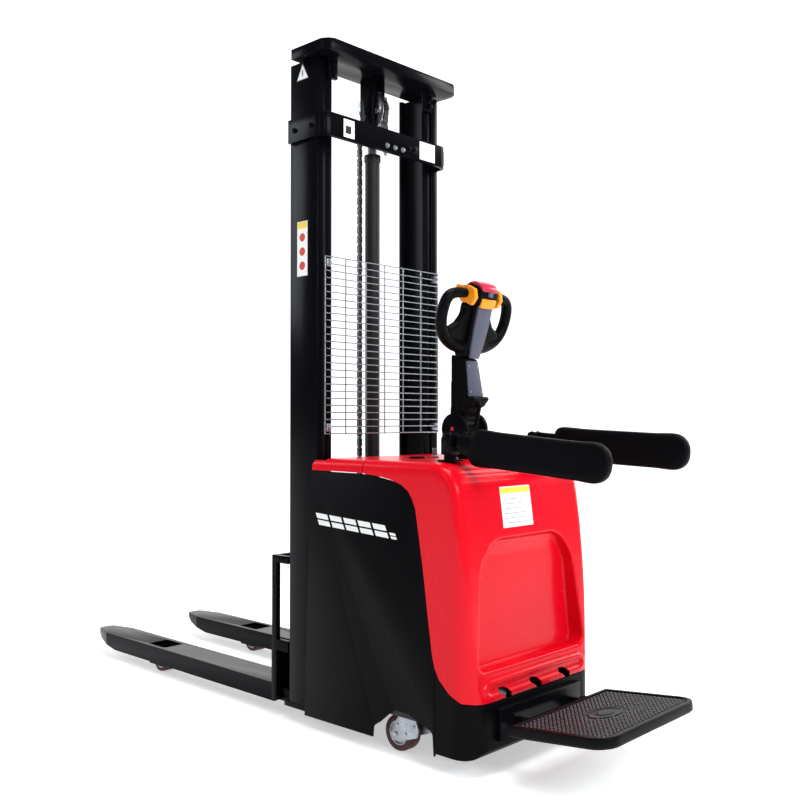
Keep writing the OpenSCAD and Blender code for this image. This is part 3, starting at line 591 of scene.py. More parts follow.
def cut(piece, cutter, operation="DIFFERENCE"):
    """Cuts a piece with another one, which is used up."""
    with_modifier(piece, "BOOLEAN", object=cutter, operation=operation, solver="EXACT")
    bpy.data.objects.remove(cutter)
    return piece


def twin(piece, name):
    """A copy with its own mesh."""
    copy = piece.copy()
    copy.data = piece.data.copy()
    copy.name = name
    bpy.context.scene.collection.objects.link(copy)
    return copy


def remeshed(piece, voxel):
    """Remeshes with voxels of a size in millimetres."""
    return with_modifier(piece, "REMESH", mode="VOXEL", voxel_size=voxel * MM, use_smooth_shade=True)


def melted(piece, voxel, rounds):
    """Remeshes and smooths, as soft moulded edges are."""
    return with_modifier(remeshed(piece, voxel), "SMOOTH", factor=0.5, iterations=rounds)


def repeated(piece, count, step):
    """Repeats a piece with a step in metres."""
    return with_modifier(piece, "ARRAY", count=count, use_relative_offset=False, use_constant_offset=True,
                         constant_offset_displace=step)


def done(piece, finish, body, slot, *stands_for):
    """Gives a piece its finish and its body, and hides the nodes it stands for. The slot is not used."""
    piece.data.materials.clear()
    piece.data.materials.append(finish)
    for face in piece.data.polygons:
        face.material_index = 0
    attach(piece, body)
    if stands_for:
        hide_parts(*stands_for)
    print(piece.name, len(piece.data.polygons), "faces on", body)
    return piece


def joined(name, pieces):
    """Joins pieces into one mesh."""
    only(*pieces)
    bpy.ops.object.join()
    piece = bpy.context.object
    piece.name = name
    return piece


print("modelling tools ready")

# %% Sizes of the covers, in millimetres from the mast face
COVER_HALF = 290
COVER_TOP = 816
HOOD_BACK = 616
COVER_SIDE = [
    (-472, 36), (-560, 38), (-598, 46), (-616, 62), (-616, 190), (-609, 209), (-600, 372), (-589, 500),
    (-578, 620), (-562, 740), (-555, 761), (-538, 788), (-510, 808), (-470, COVER_TOP), (11, COVER_TOP),
    (11, 36),
]
PANEL_EDGE = [
    (60, 780), (-201, 779), (-270, 773), (-320, 765), (-362, 753), (-388, 737), (-402, 719), (-416, 690),
    (-430, 610), (-445, 521), (-462, 400), (-477, 300), (-486, 268), (-502, 241), (-535, 211), (-573, 192),
    (-700, 183),
]

# %% The whole body
body = plate("cover_body", COVER_SIDE, "X", -COVER_HALF, COVER_HALF)
side_x = (COVER_HALF - 1) * MM
pick(
    body, "EDGE",
    lambda e: all(abs(p.x) > side_x and (p.z > 0.19 or p.y < at(0, -560, 0).y) for p in ends(body, e))
    and max(p.z for p in ends(body, e)) > 0.2,
)
bevel_picked(24, 6)
plan = block("cover_plan", (-COVER_HALF, -HOOD_BACK, 0), (COVER_HALF, 40, 860))
pick(plan, "EDGE", lambda e: all(p.y < at(0, -600, 0).y for p in ends(plan, e)) and abs(
    ends(plan, e)[0].z - ends(plan, e)[1].z) > 0.1)
bevel_picked(70, 14)
cut(body, plan, "INTERSECT")
print("cover body", len(body.data.polygons), "faces")

# %% The knee recess with its rounded top
RECESS = [(-250, 266), (250, 266), (216, 538), (150, 606), (-150, 606), (-216, 538)]
recess = plate("knee_recess", RECESS, "Y", -700, -548)
pick(recess, "EDGE", lambda e: abs(ends(recess, e)[0].y - ends(recess, e)[1].y) > 0.1)
bevel_picked(34, 8)
RECESS_SIDE = [
    (-720, 212), (-566, 220), (-556, 232), (-549, 400), (-548, 560), (-560, 600), (-592, 622), (-720, 660),
]
cut(recess, plate("recess_floor", RECESS_SIDE, "X", -300, 300), "INTERSECT")
cut(body, recess)

# %% Two rounded ridges under the recess, joined at both ends
RIDGE = [(0, 200), (212, 200), (226, 205), (232, 217), (226, 229), (212, 235), (0, 237)]


def on_ridge(side, x, z):
    """A point of the ridges, which follow the slope of the hood."""
    return side * x, -612 + (z - 199) * 0.1, z


ridges = joined("ridges", [
    rod("ridge", 8, on_ridge(side, *a), on_ridge(side, *b), 16)
    for side in (-1, 1) for a, b in zip(RIDGE, RIDGE[1:])
])
cut(body, melted(ridges, 3, 2), "UNION")
melted(body, 3.6, 7)
print("melted body", len(body.data.polygons), "faces")

# %% The skin, and the outlines that cut it into mouldings
SKIN = 4
with_modifier(body, "SOLIDIFY", thickness=SKIN * MM, offset=-1, use_even_offset=False)
SEAM = 3
ABOVE_PANEL = PANEL_EDGE + [(-700, 900), (60, 900)]
BELOW_PANEL = [(a, b - SEAM) for a, b in PANEL_EDGE] + [(-700, -60), (60, -60)]


def moulding(name, outline, low, high, holes=()):
    """Cuts one moulding out of the skin: inside the outline, between two corners, less the holes."""
    cutter = plate(name + "_cutter", outline, "X", -400, 400)
    cut(cutter, block("limits", low, high), "INTERSECT")
    for hole in holes:
        cut(cutter, hole)
    piece = twin(body, name)
    cut(piece, cutter, "INTERSECT")
    return smooth(piece, 50)


# %% Hood with its column hole and three hooked notches
COLUMN_Y = -352
NOTCH = [
    (-2, 140), (-2, 178), (-8, 190), (-20, 199), (-35, 206), (-34, 219), (-14, 218), (4, 211), (15, 198),
    (19, 180), (19, 140),
]
holes = [plate("notch", [(x + a, b) for a, b in NOTCH], "Y", -700, -590) for x in (-140, 0, 140)]
holes.append(rod("column_hole", 34, (0, COLUMN_Y, 760), (0, COLUMN_Y, 860), 48))
hood = moulding("hood_shell", ABOVE_PANEL, (-400, -700, 150), (400, -212, 900), holes)
done(hood, red_gloss, "chassis", "red_plastic", "hood")

# %% Lid over the battery
mast_room = block("mast_room", (-281, -46, -80), (281, 100, 900))
lid = moulding("lid_shell", ABOVE_PANEL, (-400, -208, 600), (400, 60, 900), [mast_room])
done(lid, red_gloss, "chassis", "red_plastic", "battery_lid")

# %% Black skirt round the foot
skirt = moulding("skirt_shell", BELOW_PANEL, (-400, -700, 44), (400, -488, 300))
done(skirt, black_shell, "chassis", "black_plastic", "rear_skirt")
bpy.data.objects.remove(body)

# %% [markdown]
# ## Steelwork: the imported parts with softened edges
# The mast, forks and frame already have their true shape. Real plate never has a knife edge: it
# is sheared, ground and painted, and the thin bright line along each edge is what makes it read as
# steel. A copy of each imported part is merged, its flat faces are joined up and a small bevel is put on.

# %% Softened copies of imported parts


def softened(node, width=1.5, segments=2, name=None, angle=35):
    """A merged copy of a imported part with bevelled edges, which stands for it."""
    piece = twin(frame["nodes"][node], name or node + "_soft")
    piece.parent = None
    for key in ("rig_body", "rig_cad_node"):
        if key in piece:
            del piece[key]
    piece.matrix_world = Matrix.Identity(4)
    piece.hide_render = False
    edit(piece, "VERT", every=True)
    bpy.ops.mesh.remove_doubles(threshold=0.02 * MM)
    bpy.ops.mesh.dissolve_limited(angle_limit=math.radians(1))
    bpy.ops.object.mode_set(mode="OBJECT")
    rounded(piece, width, segments, angle)
    return piece


BODY_OF = {node: body for body, nodes in frame["record"]["behaviour"]["bodies"].items() for node in nodes}
SLOT_OF = {part["node"]: part["material_slot"] for part in frame["record"]["subparts"]}


def soften_all(nodes, finish, width=1.5, segments=2, angle=35):
    """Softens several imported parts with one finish."""
    for node in nodes:
        done(softened(node, width, segments, angle=angle), finish, BODY_OF[node], SLOT_OF[node], node)


# %% Mast, carriage, forks and frame
soften_all(
    ("mast_channel_left", "mast_channel_right", "inner_channel_left", "inner_channel_right", "crossbar",
     "top_plate", "inner_tie", "wheel_bracket", "carriage_frame", "backrest", "arm_posts",
     "platform_bracket"),
    black_enamel, 1.8,
)
soften_all(("fork_left", "fork_right", "leg_frame"), black_enamel, 1.6, 3)
soften_all(("chassis_frame", "cylinder_barrel"), frame_enamel, 1.2)
soften_all(("side_panel_left", "side_panel_right"), black_shell, 0.6, 2)

# %% Trim that only needs soft edges and its own finish
soften_all(("chain_anchor",), zinc_plate, 0.8)
soften_all(("lift_rod",), ground_steel, 0.8)
soften_all(("caster_fork_left", "caster_fork_right"), zinc_plate, 1.0)
soften_all(("tiller_base",), black_enamel, 2.0, 3)
soften_all(("drive_yoke",), frame_enamel, 1.2)
soften_all(("power_pack", "controller", "drive_motor"), motor_casting, 1.5)
soften_all(("battery",), battery_shell, 3.0, 3)
soften_all(("hydraulic_hose",), hose_rubber, 1.0)
soften_all(("key_lock", "key"), zinc_plate, 0.4)

# %% [markdown]
# ## Turned parts
# Wheels, rollers, knobs and gauges are round, so they are made as on a lathe: half a section is
# drawn once and spun round its axis. The section carries all the detail: the crown of the tread,
# the step of the rim, the boss round the axle.

# %% A lathe


def turned(name, section, middle, axis="X", steps=64):
    """Spins a closed section of (radius, along) points in millimetres round an axis."""
    clear()
    bpy.ops.mesh.primitive_circle_add(vertices=len(section))
    piece = bpy.context.object
    piece.name = name
    piece.location = (0, 0, 0)
    for vertex, (radius, along) in zip(piece.data.vertices, section):
        vertex.co = (along * MM, 0, radius * MM)
    edit(piece, "EDGE", every=True)
    bpy.ops.mesh.spin(steps=steps, angle=math.tau, center=(0, 0, 0), axis=(1, 0, 0))
    bpy.ops.mesh.select_all(action="SELECT")
    bpy.ops.mesh.remove_doubles(threshold=0.01 * MM)
    bpy.ops.mesh.normals_make_consistent(inside=False)
    bpy.ops.object.mode_set(mode="OBJECT")
    turn = {"X": Matrix.Identity(4), "Z": Matrix.Rotation(-math.pi / 2, 4, "Y")}[axis]
    piece.data.transform(Matrix.Translation(at(*middle)) @ turn)
    return smooth(piece, 32)


def both_ways(half):
    """A closed section from its half on the far side: mirrored along, in order."""
    return list(half) + [(radius, -along) for radius, along in reversed(half)]


def middle_of(node):
    """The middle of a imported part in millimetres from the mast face."""
    low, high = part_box(node)
    middle = (low + high) / 2
    return (middle.x / MM, (middle.y - mast_face) / MM, middle.z / MM)


print("lathe ready")

# %% Tread and hub of each wheel


def wheel(node, name, radius, half, hub, axle, tread=tread_rubber, hub_finish=zinc_plate):
    """A solid tyre with rounded shoulders, bonded to a hub with a recessed web and a boss."""
    shoulder = min(8, half * 0.3)
    tyre = [(hub, half - 1.5), (radius - shoulder, half - 0.5),
            (radius - shoulder * 0.3, half - shoulder * 0.35), (radius, half - shoulder * 1.3)]
    rim = [(axle, half - 2), (axle + 6, half - 2), (axle + 7.5, half - 5), (hub - 6, half - 6),
           (hub - 4, half - 2.5), (hub + 0.2, half - 2.5)]
    for part, section, finish, slot in (("_tyre", tyre, tread, "tread"), ("_hub", rim, hub_finish, "zinc")):
        done(turned(name + part, both_ways(section), middle_of(node)), finish, node, slot, node)


for side in ("left", "right"):
    wheel("caster_wheel_" + side, "caster_" + side, 51, 23, 34, 7.2)
    wheel("load_wheel_" + side, "load_roller_" + side, 40, 33, 27, 10.2)
wheel("drive_wheel", "drive", 105, 37, 74, 16.2, mat_rubber, motor_casting)

# %% Mast and carriage rollers, and the chain wheel
for node in ("mast_rollers", "carriage_rollers_lower", "carriage_rollers_upper"):
    low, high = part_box(node)
    radius = (high.z - low.z) / 2 / MM
    half = 13 if node == "mast_rollers" else 8.5
    roller = [(14.2, half), (22, half), (24, half - 2), (radius - 8, half - 2), (radius - 6, half),
              (radius - 1.5, half), (radius, half - 1.5)]
    for side, label in SIDES:
        place = (side * (high.x / MM - half), *middle_of(node)[1:])
        piece = turned(node + "_" + label, both_ways(roller), place, steps=48)
        done(piece, zinc_plate, BODY_OF[node], "zinc", node)
soften_all(("chain_wheel",), ground_steel, 0.6)

# %% [markdown]
# ## The leaf chain
# A lift chain has no rollers: flat plates are stacked on pins, and every other stack is staggered.
# Two pitches are modelled once, out of a few faces, and repeated along each run. The run behind the
# mast is tied to the inner mast and moves with it; the short one hangs from the crossbar and is tied
# to no body.

# %% Two pitches of chain
PITCH = 15.875
WHEEL_AT = middle_of("chain_wheel")
CHAIN_RADIUS = 60


def link_plate(name, x, z):
    """One flat link, a little waisted, from one pin to the next."""
    half = PITCH / 2
    shape = [(-5.6, z - half), (-3.9, z - half - 4), (3.9, z - half - 4), (5.6, z - half), (4.2, z),
             (5.6, z + half), (3.9, z + half + 4), (-3.9, z + half + 4), (-5.6, z + half), (-4.2, z)]
    return plate(name, shape, "X", x - 0.9, x + 0.9)


def chain_pair(name):
    """Two pitches of staggered plates with their pins, round y = 0 and from z = 0 up."""
    parts = [link_plate("link", x, PITCH * 0.5) for x in (-7, -2.4, 2.4, 7)]
    parts += [link_plate("link", x, PITCH * 1.5) for x in (-4.7, 0, 4.7)]
    parts += [rod("pin", 2.3, (-8.6, 0, z), (8.6, 0, z), 8) for z in (0, PITCH)]
    return joined(name, parts)


def chain_run(name, y, low, high):
    """A straight run of chain between two heights."""
    run = chain_pair(name)
    pairs = max(1, int((high - low) / PITCH / 2))
    repeated(run, pairs, (0, 0, 2 * PITCH * MM))
    stretch = (high - low) / (pairs * 2 * PITCH)
    run.data.transform(Matrix.Translation((0, y * MM, low * MM)) @ Matrix.Scale(stretch, 4, (0, 0, 1)))
    return smooth(run, 30)


REAR_FOOT, FRONT_FOOT = 272, 1864
rear_run = chain_run("chain_rear_links", WHEEL_AT[1] + CHAIN_RADIUS, REAR_FOOT, WHEEL_AT[2])
front_run = chain_run("chain_front_links", WHEEL_AT[1] - CHAIN_RADIUS, FRONT_FOOT, WHEEL_AT[2])

# %% The chain over the wheel
PAIRS_ON_WHEEL = 6
wrap_parts = []
for number in range(PAIRS_ON_WHEEL):
    pair = chain_pair("wrap_link")
    roll = Matrix.Rotation(math.pi / PAIRS_ON_WHEEL * number, 4, "X")
    roll = Matrix.Translation(at(0, *WHEEL_AT[1:])) @ roll @ Matrix.Translation((0, CHAIN_RADIUS * MM, 0))
    pair.data.transform(roll @ Matrix.Translation(-at(0, 0, 0)))
    wrap_parts.append(pair)
wrap_links = smooth(joined("chain_wrap_links", wrap_parts), 30)
done(wrap_links, chain_steel, "inner_mast", "zinc", "chain_wrap")

# %% The straight runs: the long one rides on the inner mast
for run, node in ((rear_run, "chain_rear"), (front_run, "chain_front")):
    run.data.materials.clear()
    run.data.materials.append(chain_steel)
    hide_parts(node)
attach(rear_run, "inner_mast")
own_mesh(rear_run)
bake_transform(front_run)
print("chain runs:", len(rear_run.data.polygons), len(front_run.data.polygons))

# %% [markdown]
# ## The wire screen
# The screen is welded from round wire, the cross wires lying on the driver's side of the uprights.
# One upright and one cross wire are modelled and repeated at their spacing, and four small clips hold
# the screen to the mast channels.

# %% Wires
guard_low, guard_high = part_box("mesh_guard")
guard_half = guard_high.x / MM
guard_z0, guard_z1 = guard_low.z / MM, guard_high.z / MM
UPRIGHTS, CROSS_WIRES = 7, 26
INSET = 2
left = INSET - guard_half
upright = rod("screen_uprights", 2.1, (left, -17, guard_z0), (left, -17, guard_z1), 10)
repeated(upright, UPRIGHTS, ((guard_half - INSET) * 2 / (UPRIGHTS - 1) * MM, 0, 0))
first = guard_z0 + INSET
cross_wire = rod("screen_cross_wires", 1.7, (-guard_half, -20.2, first), (guard_half, -20.2, first), 10)
repeated(cross_wire, CROSS_WIRES, (0, 0, (guard_z1 - INSET - first) / (CROSS_WIRES - 1) * MM))
for wires in (upright, cross_wire):
    smooth(wires, 50)
    done(wires, zinc_plate, "chassis", "zinc", "mesh_guard")

# %% Clips that hold the screen


WASHER = 1.4
HEAD_HEIGHT = 5


def bolt(name, radius, place, axis="Y", toward=-1):
    """A hexagon head with a chamfer and a washer under it, its seat at the place."""
    step = Vector((toward, 0, 0)) if axis == "X" else Vector((0, toward, 0))
    seat = Vector(place)
    washer = rod(name + "_washer", radius * 1.35, seat, seat + step * WASHER, 24)
    head = rod(name + "_head", radius, seat + step * WASHER, seat + step * (WASHER + HEAD_HEIGHT), 6)
    rounded(head, 0.7, 2)
    rounded(washer, 0.3, 1)
    return joined(name, [head, washer])


CLIP_X, CLIP_FRONT = 247, -23
clips = []
for side in (-1, 1):
    for z in (guard_z0 + 21, guard_z1 - 21):
        x = side * CLIP_X
        clip = block("clip", (x - 9, CLIP_FRONT, z - 12), (x + 9, -0.2, z + 12))
        clips += [rounded(clip, 1.2, 2), bolt("clip_bolt", 5, (x, CLIP_FRONT, z))]
done(joined("screen_clips", clips), zinc_plate, "chassis", "zinc", "mesh_guard")

# %% [markdown]
# ## The tiller head
# The driver steers and drives with the tiller head, so it is the most detailed moulding on the
# truck: a tapered body, a dark cap with a red button on top, a grey front panel, orange thumb
# throttles and two closed handle loops. The head leans toward the driver, so it is shaped upright
# and then turned into place.

# %% Upright to leaning
HEAD_PLACE = (0, -356, 1118)
HEAD_LEAN = 16


def lean(piece):
    """Turns a piece that was shaped upright round the mast face into the place of the head."""
    move = Matrix.Translation(at(*HEAD_PLACE)) @ Matrix.Rotation(math.radians(HEAD_LEAN), 4, "X")
    piece.data.transform(move @ Matrix.Translation(-at(0, 0, 0)))
    return piece


def moulded_bar(name, outline, half, edge, segments):
    """A side outline extruded to both sides with well rounded edges."""
    return rounded(plate(name, outline, "X", -half, half), edge, segments, 25)


HEAD_BODY = [(14, 0), (24, 20), (32, 60), (34, 160), (-26, 162), (-30, 60), (-24, 12), (-14, 0)]
HEAD_CAP = [(36, 160), (40, 196), (34, 208), (12, 222), (-24, 219), (-40, 204), (-40, 178), (-34, 158)]
for shape in (("head_body", HEAD_BODY, 38, 7, 4), ("head_cap", HEAD_CAP, 41, 9, 5)):
    done(lean(moulded_bar(*shape)), black_shell, "tiller", "black_plastic", "tiller_head")

# %% The grey panel and the orange block on the driver's side
HEAD_PANEL = [(-20, 4), (20, 4), (27, 40), (32, 100), (32, 160), (-32, 160), (-32, 100), (-27, 40)]
panel = rounded(plate("head_panel", HEAD_PANEL, "Y", -36, -26), 3.2, 4, 25)
done(lean(panel), grey_shell, "tiller", "grey_plastic", "tiller_head")
head_block = plate("head_block", [(-32, 156), (32, 156), (33, 184), (-33, 184)], "Y", -43, -30)
done(lean(rounded(head_block, 3, 3)), orange_shell, "tiller", "orange_plastic")

# %% Handle loops: one bent tube that swells toward the head


def tube(name, route, radii):
    """A smooth round tube along a route, with a radius at each point."""
    clear()
    bpy.ops.curve.primitive_nurbs_path_add(location=(0, 0, 0))
    path = bpy.context.object
    path.name = name
    path.data.splines.clear()
    spline = path.data.splines.new("NURBS")
    spline.points.add(len(route) - 1)
    for point, place, radius in zip(spline.points, route, radii):
        point.co = (*at(*place), 1)
        point.radius = radius
    spline.order_u = 4
    spline.use_endpoint_u = True
    spline.resolution_u = 10
    path.data.bevel_depth = MM
    path.data.bevel_resolution = 4
    path.data.use_fill_caps = True
    only(path)
    bpy.ops.object.convert(target="MESH")
    piece = bpy.context.object
    piece.name = name
    return smooth(piece, 60)


LOOP = [(52, 190, 12), (72, 191, 15), (100, 190, 16), (132, 182, 16.5), (146, 160, 17), (149, 120, 17),
        (140, 82, 17), (118, 56, 18), (88, 42, 20), (58, 34, 22), (30, 36, 24)]
WEB = [(30, 26), (60, 29), (96, 44), (116, 66), (110, 84), (94, 94), (80, 102), (64, 124), (56, 152),
       (30, 152)]
for side, label in SIDES:
    loop = tube("handle_loop_" + label, [(side * x, 0, z) for x, z, r in LOOP], [r for x, z, r in LOOP])
    web = plate("web", [(side * x, z) for x, z in WEB], "Y", -15, 15)
    cut(loop, rounded(web, 9, 4, 25), "UNION")
    melted(loop, 2.0, 8)
    done(lean(loop), black_shell, "tiller", "black_plastic", "handle_loops")

# %% Throttle wings and the button
throttle = melted(softened("throttle", 0.5, name="throttle_wings"), 1.2, 5)
done(throttle, orange_shell, "throttle", "orange_plastic", "throttle")
BUTTON = [(-42, 204), (-40, 214), (-26, 226), (-4, 230), (16, 226), (30, 214), (32, 204), (0, 200)]
button = moulded_bar("belly_button_cap", BUTTON, 35, 7, 5)
done(lean(button), button_shell, "belly_button", "pink_plastic", "belly_button")
soften_all(("lift_rocker",), grey_shell, 0.8)

# %% Arm of the tiller with its cover plate and screws
column = melted(softened("tiller_column", 0.5, name="tiller_arm"), 2.0, 6)
done(column, black_shell, "tiller", "black_plastic", "tiller_column")
soften_all(("column_cover",), grey_shell, 1.2, 3)
COVER_FACE, COVER_FOOT = -397.2, 1000
COVER_SLOPE = math.radians(8.26)
screws = []
for x, along in ((-24, 14), (24, 14), (-19, 92), (19, 92)):
    y = COVER_FACE + math.sin(COVER_SLOPE) * along
    z = COVER_FOOT + math.cos(COVER_SLOPE) * along
    screws.append(rounded(rod("screw", 3.2, (x, y + 1, z), (x, y - 1.4, z), 20), 0.6, 2))
done(joined("cover_screws", screws), zinc_plate, "tiller", "bright_steel")

# %% Red cap on the pivot of the left cheek, and the bolts of both
PIVOT = (0, COLUMN_Y, 905)
CAP = [(0.2, 57), (4, 57), (6, 58.2), (6, 59.4), (4.6, 60.6), (0.2, 61)]
CAP_FINISHES = ((button_shell, "pink_plastic"), (zinc_plate, "bright_steel"))
for (side, label), (finish, slot) in zip(SIDES, CAP_FINISHES):
    cap = turned("pivot_cap_" + label, [(r, side * a) for r, a in CAP], PIVOT)
    done(cap, finish, "drive_unit", slot)

# %% Battery gauge and its dial
GAUGE = (-100, -250, 0)
BEZEL = [(19, 803), (19, 816), (25, 816.4), (25, 819), (23.5, 821.4), (20, 821.4), (19.2, 819.4),
         (0.2, 819.4), (0.2, 803)]
DIAL = [(0.2, 819.5), (18.6, 819.5), (18.6, 819.9), (0.2, 819.9)]
done(turned("gauge_bezel", BEZEL, GAUGE, "Z"), black_shell, "chassis", "black_plastic", "meter")
done(turned("gauge_dial", DIAL, GAUGE, "Z"), black_film, "chassis", "label")
TICK_RING = 14
TICK_HALF = 0.8
ticks = []
for n in range(7):
    x = GAUGE[0] + TICK_RING * math.cos(math.radians(30 * n))
    y = GAUGE[1] + TICK_RING * math.sin(math.radians(30 * n))
    ticks.append(block("tick", (x - TICK_HALF, y - TICK_HALF, 819.9), (x + TICK_HALF, y + TICK_HALF, 820.2)))
done(joined("gauge_ticks", ticks), white_film, "chassis", "label")

# %% [markdown]
# ## The platform
# The driver stands on a rubber mat that is vulcanised to a folding steel plate. The mat has a raised
# rim and rows of low oval studs, with a plain oval medallion in the middle. One stud is modelled
# from a flattened sphere with few faces, and copied to every place in the rows.

# %% Plate and mat
PLAT_HALF = 238
PLAT_ROOT = 686
PLAT_END = 985
PLAT_CORNER = 60
ROUND_X, ROUND_Y = PLAT_HALF - PLAT_CORNER, -PLAT_END + PLAT_CORNER + 2
HINGE = (0, -668, 128)
PLAT_TILT = 6
TRAY_LOW, TRAY_TOP = 117, 121.5
MAT_LOW, MAT_FLOOR, MAT_TOP = 121, 142.5, 146


def tilt(piece):
    """Tips a flat piece by the tilt of the platform, round its hinge."""
    hinge = at(*HINGE)
    turn = Matrix.Rotation(math.radians(-PLAT_TILT), 4, "X")
    piece.data.transform(Matrix.Translation(hinge) @ turn @ Matrix.Translation(-hinge))
    return piece


def arc(middle, radius, start, count):
    """A quarter circle of points round a middle, from a start in degrees."""
    turns = [math.radians(start + 90 * n / (count - 1)) for n in range(count)]
    return [(middle[0] + radius * math.cos(turn), middle[1] + radius * math.sin(turn)) for turn in turns]


def platform_outline(inset):
    """The plan of the platform with its round corners, smaller by an inset."""
    points = [(PLAT_HALF - inset, -PLAT_ROOT - inset), (-PLAT_HALF + inset, -PLAT_ROOT - inset)]
    for x, start in ((-ROUND_X, 180), (ROUND_X, 270)):
        points += arc((x, ROUND_Y), PLAT_CORNER - inset, start, 11)
    return points


mat = rounded(plate("platform_mat", platform_outline(0), "Z", MAT_LOW, MAT_TOP), 3.5, 3, 40)
cut(mat, plate("mat_floor", platform_outline(14), "Z", MAT_FLOOR, MAT_TOP + 24))
rounded(mat, 1.2, 2, 50)
done(tilt(mat), mat_rubber, "platform", "tread", "platform")

# %% Studs and the plain medallion
clear()
bpy.ops.mesh.primitive_uv_sphere_add(segments=10, ring_count=6, radius=1)
stud = bpy.context.object
stud.data.transform(Matrix.Diagonal((6.0 * MM, 4.0 * MM, 3.0 * MM, 1)))
pick(stud, "FACE", lambda f: f.center.z < -0.0004)
bpy.ops.mesh.delete(type="FACE")
bpy.ops.object.mode_set(mode="OBJECT")
STUD_STEP_X, STUD_STEP_Y = 17, 12.5
STUD_RIM = 22
MEDALLION_Y, MEDALLION_LONG, MEDALLION_WIDE = -832, 62, 40


def has_stud(x, y):
    """Whether a stud fits here: inside the rim, clear of the round corners and of the medallion."""
    if abs(x) > PLAT_HALF - STUD_RIM or y > -PLAT_ROOT - 20:
        return False
    corner = Vector((max(0, abs(x) - ROUND_X), max(0, ROUND_Y - y)))
    if corner.length > PLAT_CORNER - STUD_RIM:
        return False
    return (x / (MEDALLION_LONG + 9)) ** 2 + ((y - MEDALLION_Y) / (MEDALLION_WIDE + 8)) ** 2 >= 1


studs = []
for row in range(round((PLAT_END - PLAT_ROOT) / STUD_STEP_Y)):
    for number in range(-17, 18):
        x, y = number * STUD_STEP_X, -PLAT_END + STUD_RIM + row * STUD_STEP_Y
        if has_stud(x, y):
            one = twin(stud, "stud")
            one.data.transform(Matrix.Translation(at(x, y, MAT_FLOOR + 0.1)))
            studs.append(one)
bpy.data.objects.remove(stud)
print(len(studs), "studs")
# The studs' finish has a painted glint in its colour.
done(tilt(smooth(joined("mat_studs", studs), 60)), stud_rubber_painted_glint, "platform", "tread", "platform")
RING = [(1, 0), (1, 1), (0.955, 1.9), (0.90, 1.9), (0.87, 1), (0.50, 0.8), (0.46, 1.7), (0.42, 1.9),
        (0.02, 1.9), (0.02, 0)]
medallion = turned("mat_medallion", [(r * MEDALLION_LONG, a) for r, a in RING], (0, 0, 0), "Z")
squeeze = Matrix.Diagonal((1, MEDALLION_WIDE / MEDALLION_LONG, 1, 1)) @ Matrix.Translation(-at(0, 0, 0))
medallion.data.transform(Matrix.Translation(at(0, MEDALLION_Y, MAT_FLOOR - 0.3)) @ squeeze)
done(tilt(medallion), mat_rubber, "platform", "tread", "platform")

# %% Steel tray under the mat, with its hinge ears
tray = plate("platform_tray", platform_outline(6), "Z", TRAY_LOW, TRAY_TOP)
done(tilt(rounded(tray, 1.5, 2)), black_enamel, "platform", "black_paint", "platform")
EAR = [(-660, 121), (-656, 130), (-660, 139), (-668, 142), (-700, 146), (-724, 142), (-724, 122), (-700, 116)]
for (side, label), low in zip(SIDES, (-152, 136)):
    ear = rounded(plate("platform_ear_" + label, EAR, "X", low, low + 16), 2, 2)
    done(ear, black_enamel, "platform", "black_paint", "platform")

# %% [markdown]
# ## Side arms
# The pads that hold the driver in are dense moulded foam over a steel bar. Foam has no flat
# face: it swells a little between its edges. The pad is remeshed, blown up a few millimetres by a
# short cloth simulation with pressure, held to a cap so it stays crisp, and smoothed once more.

# %% Pad by simulation
ARM = (200, -465, 878)
PAD_START, PAD_LENGTH, PAD_HIGH, PAD_THICK, PAD_DROP = 75, 433, 103, 38, 14
ROOT_CORNER, TIP_CORNER = 26, 46
ARM_SLOPE = 3.5
ARM_PLAY = 1.1


def pad_outline():
    """The side view of a pad: small corners at its root, large ones at its tip."""
    root = -PAD_START - ROOT_CORNER
    tip = -PAD_START - PAD_LENGTH + TIP_CORNER
    points = []
    for y, up, radius, start in ((root, 1, ROOT_CORNER, 0), (tip, 1, TIP_CORNER, 90),
                                 (tip, -1, TIP_CORNER, 180), (root, -1, ROOT_CORNER, 270)):
        points += arc((y, up * (PAD_HIGH / 2 - radius) - PAD_DROP), radius, start, 9)
    return points


def inflated(piece, voxel, pressure, cap, steps=14):
    """Blows a closed piece up with cloth under pressure, no point moving further than the cap."""
    remeshed(piece, voxel)
    before = [v.co.copy() for v in piece.data.vertices]
    cloth = piece.modifiers.new("cloth", "CLOTH")
    cloth.settings.use_pressure = True
    cloth.settings.uniform_pressure_force = pressure
    cloth.settings.effector_weights.gravity = 0
    scene = bpy.context.scene
    for number in range(1, steps + 1):
        scene.frame_set(number)
    only(piece)
    bpy.ops.object.modifier_apply(modifier=cloth.name)
    scene.frame_set(1)
    for vertex, old in zip(piece.data.vertices, before):
        move = vertex.co - old
        if move.length > cap * MM:
            vertex.co = old + move.normalized() * cap * MM
    return piece


def arm_place(side):
    """The turn and place of an arm, from one shaped round the mast face."""
    slope = Matrix.Rotation(math.radians(ARM_SLOPE - side * ARM_PLAY), 4, "X")
    return Matrix.Translation(at(side * ARM[0], ARM[1], ARM[2])) @ slope @ Matrix.Translation(-at(0, 0, 0))


pad = plate("pad", pad_outline(), "X", -PAD_THICK / 2 + 3, PAD_THICK / 2 - 3)
rounded(pad, 5, 3, 50)
inflated(pad, 5, 4.0, 3.0)
with_modifier(pad, "SMOOTH", factor=0.5, iterations=6)
with_modifier(pad, "SUBSURF", levels=1, render_levels=1)
smooth(pad, 80)
for side, label in SIDES:
    one = twin(pad, "arm_pad_" + label)
    one.data.transform(arm_place(side))
    done(one, foam_skin, "arm_" + label, "padding", "arm_" + label)
bpy.data.objects.remove(pad)

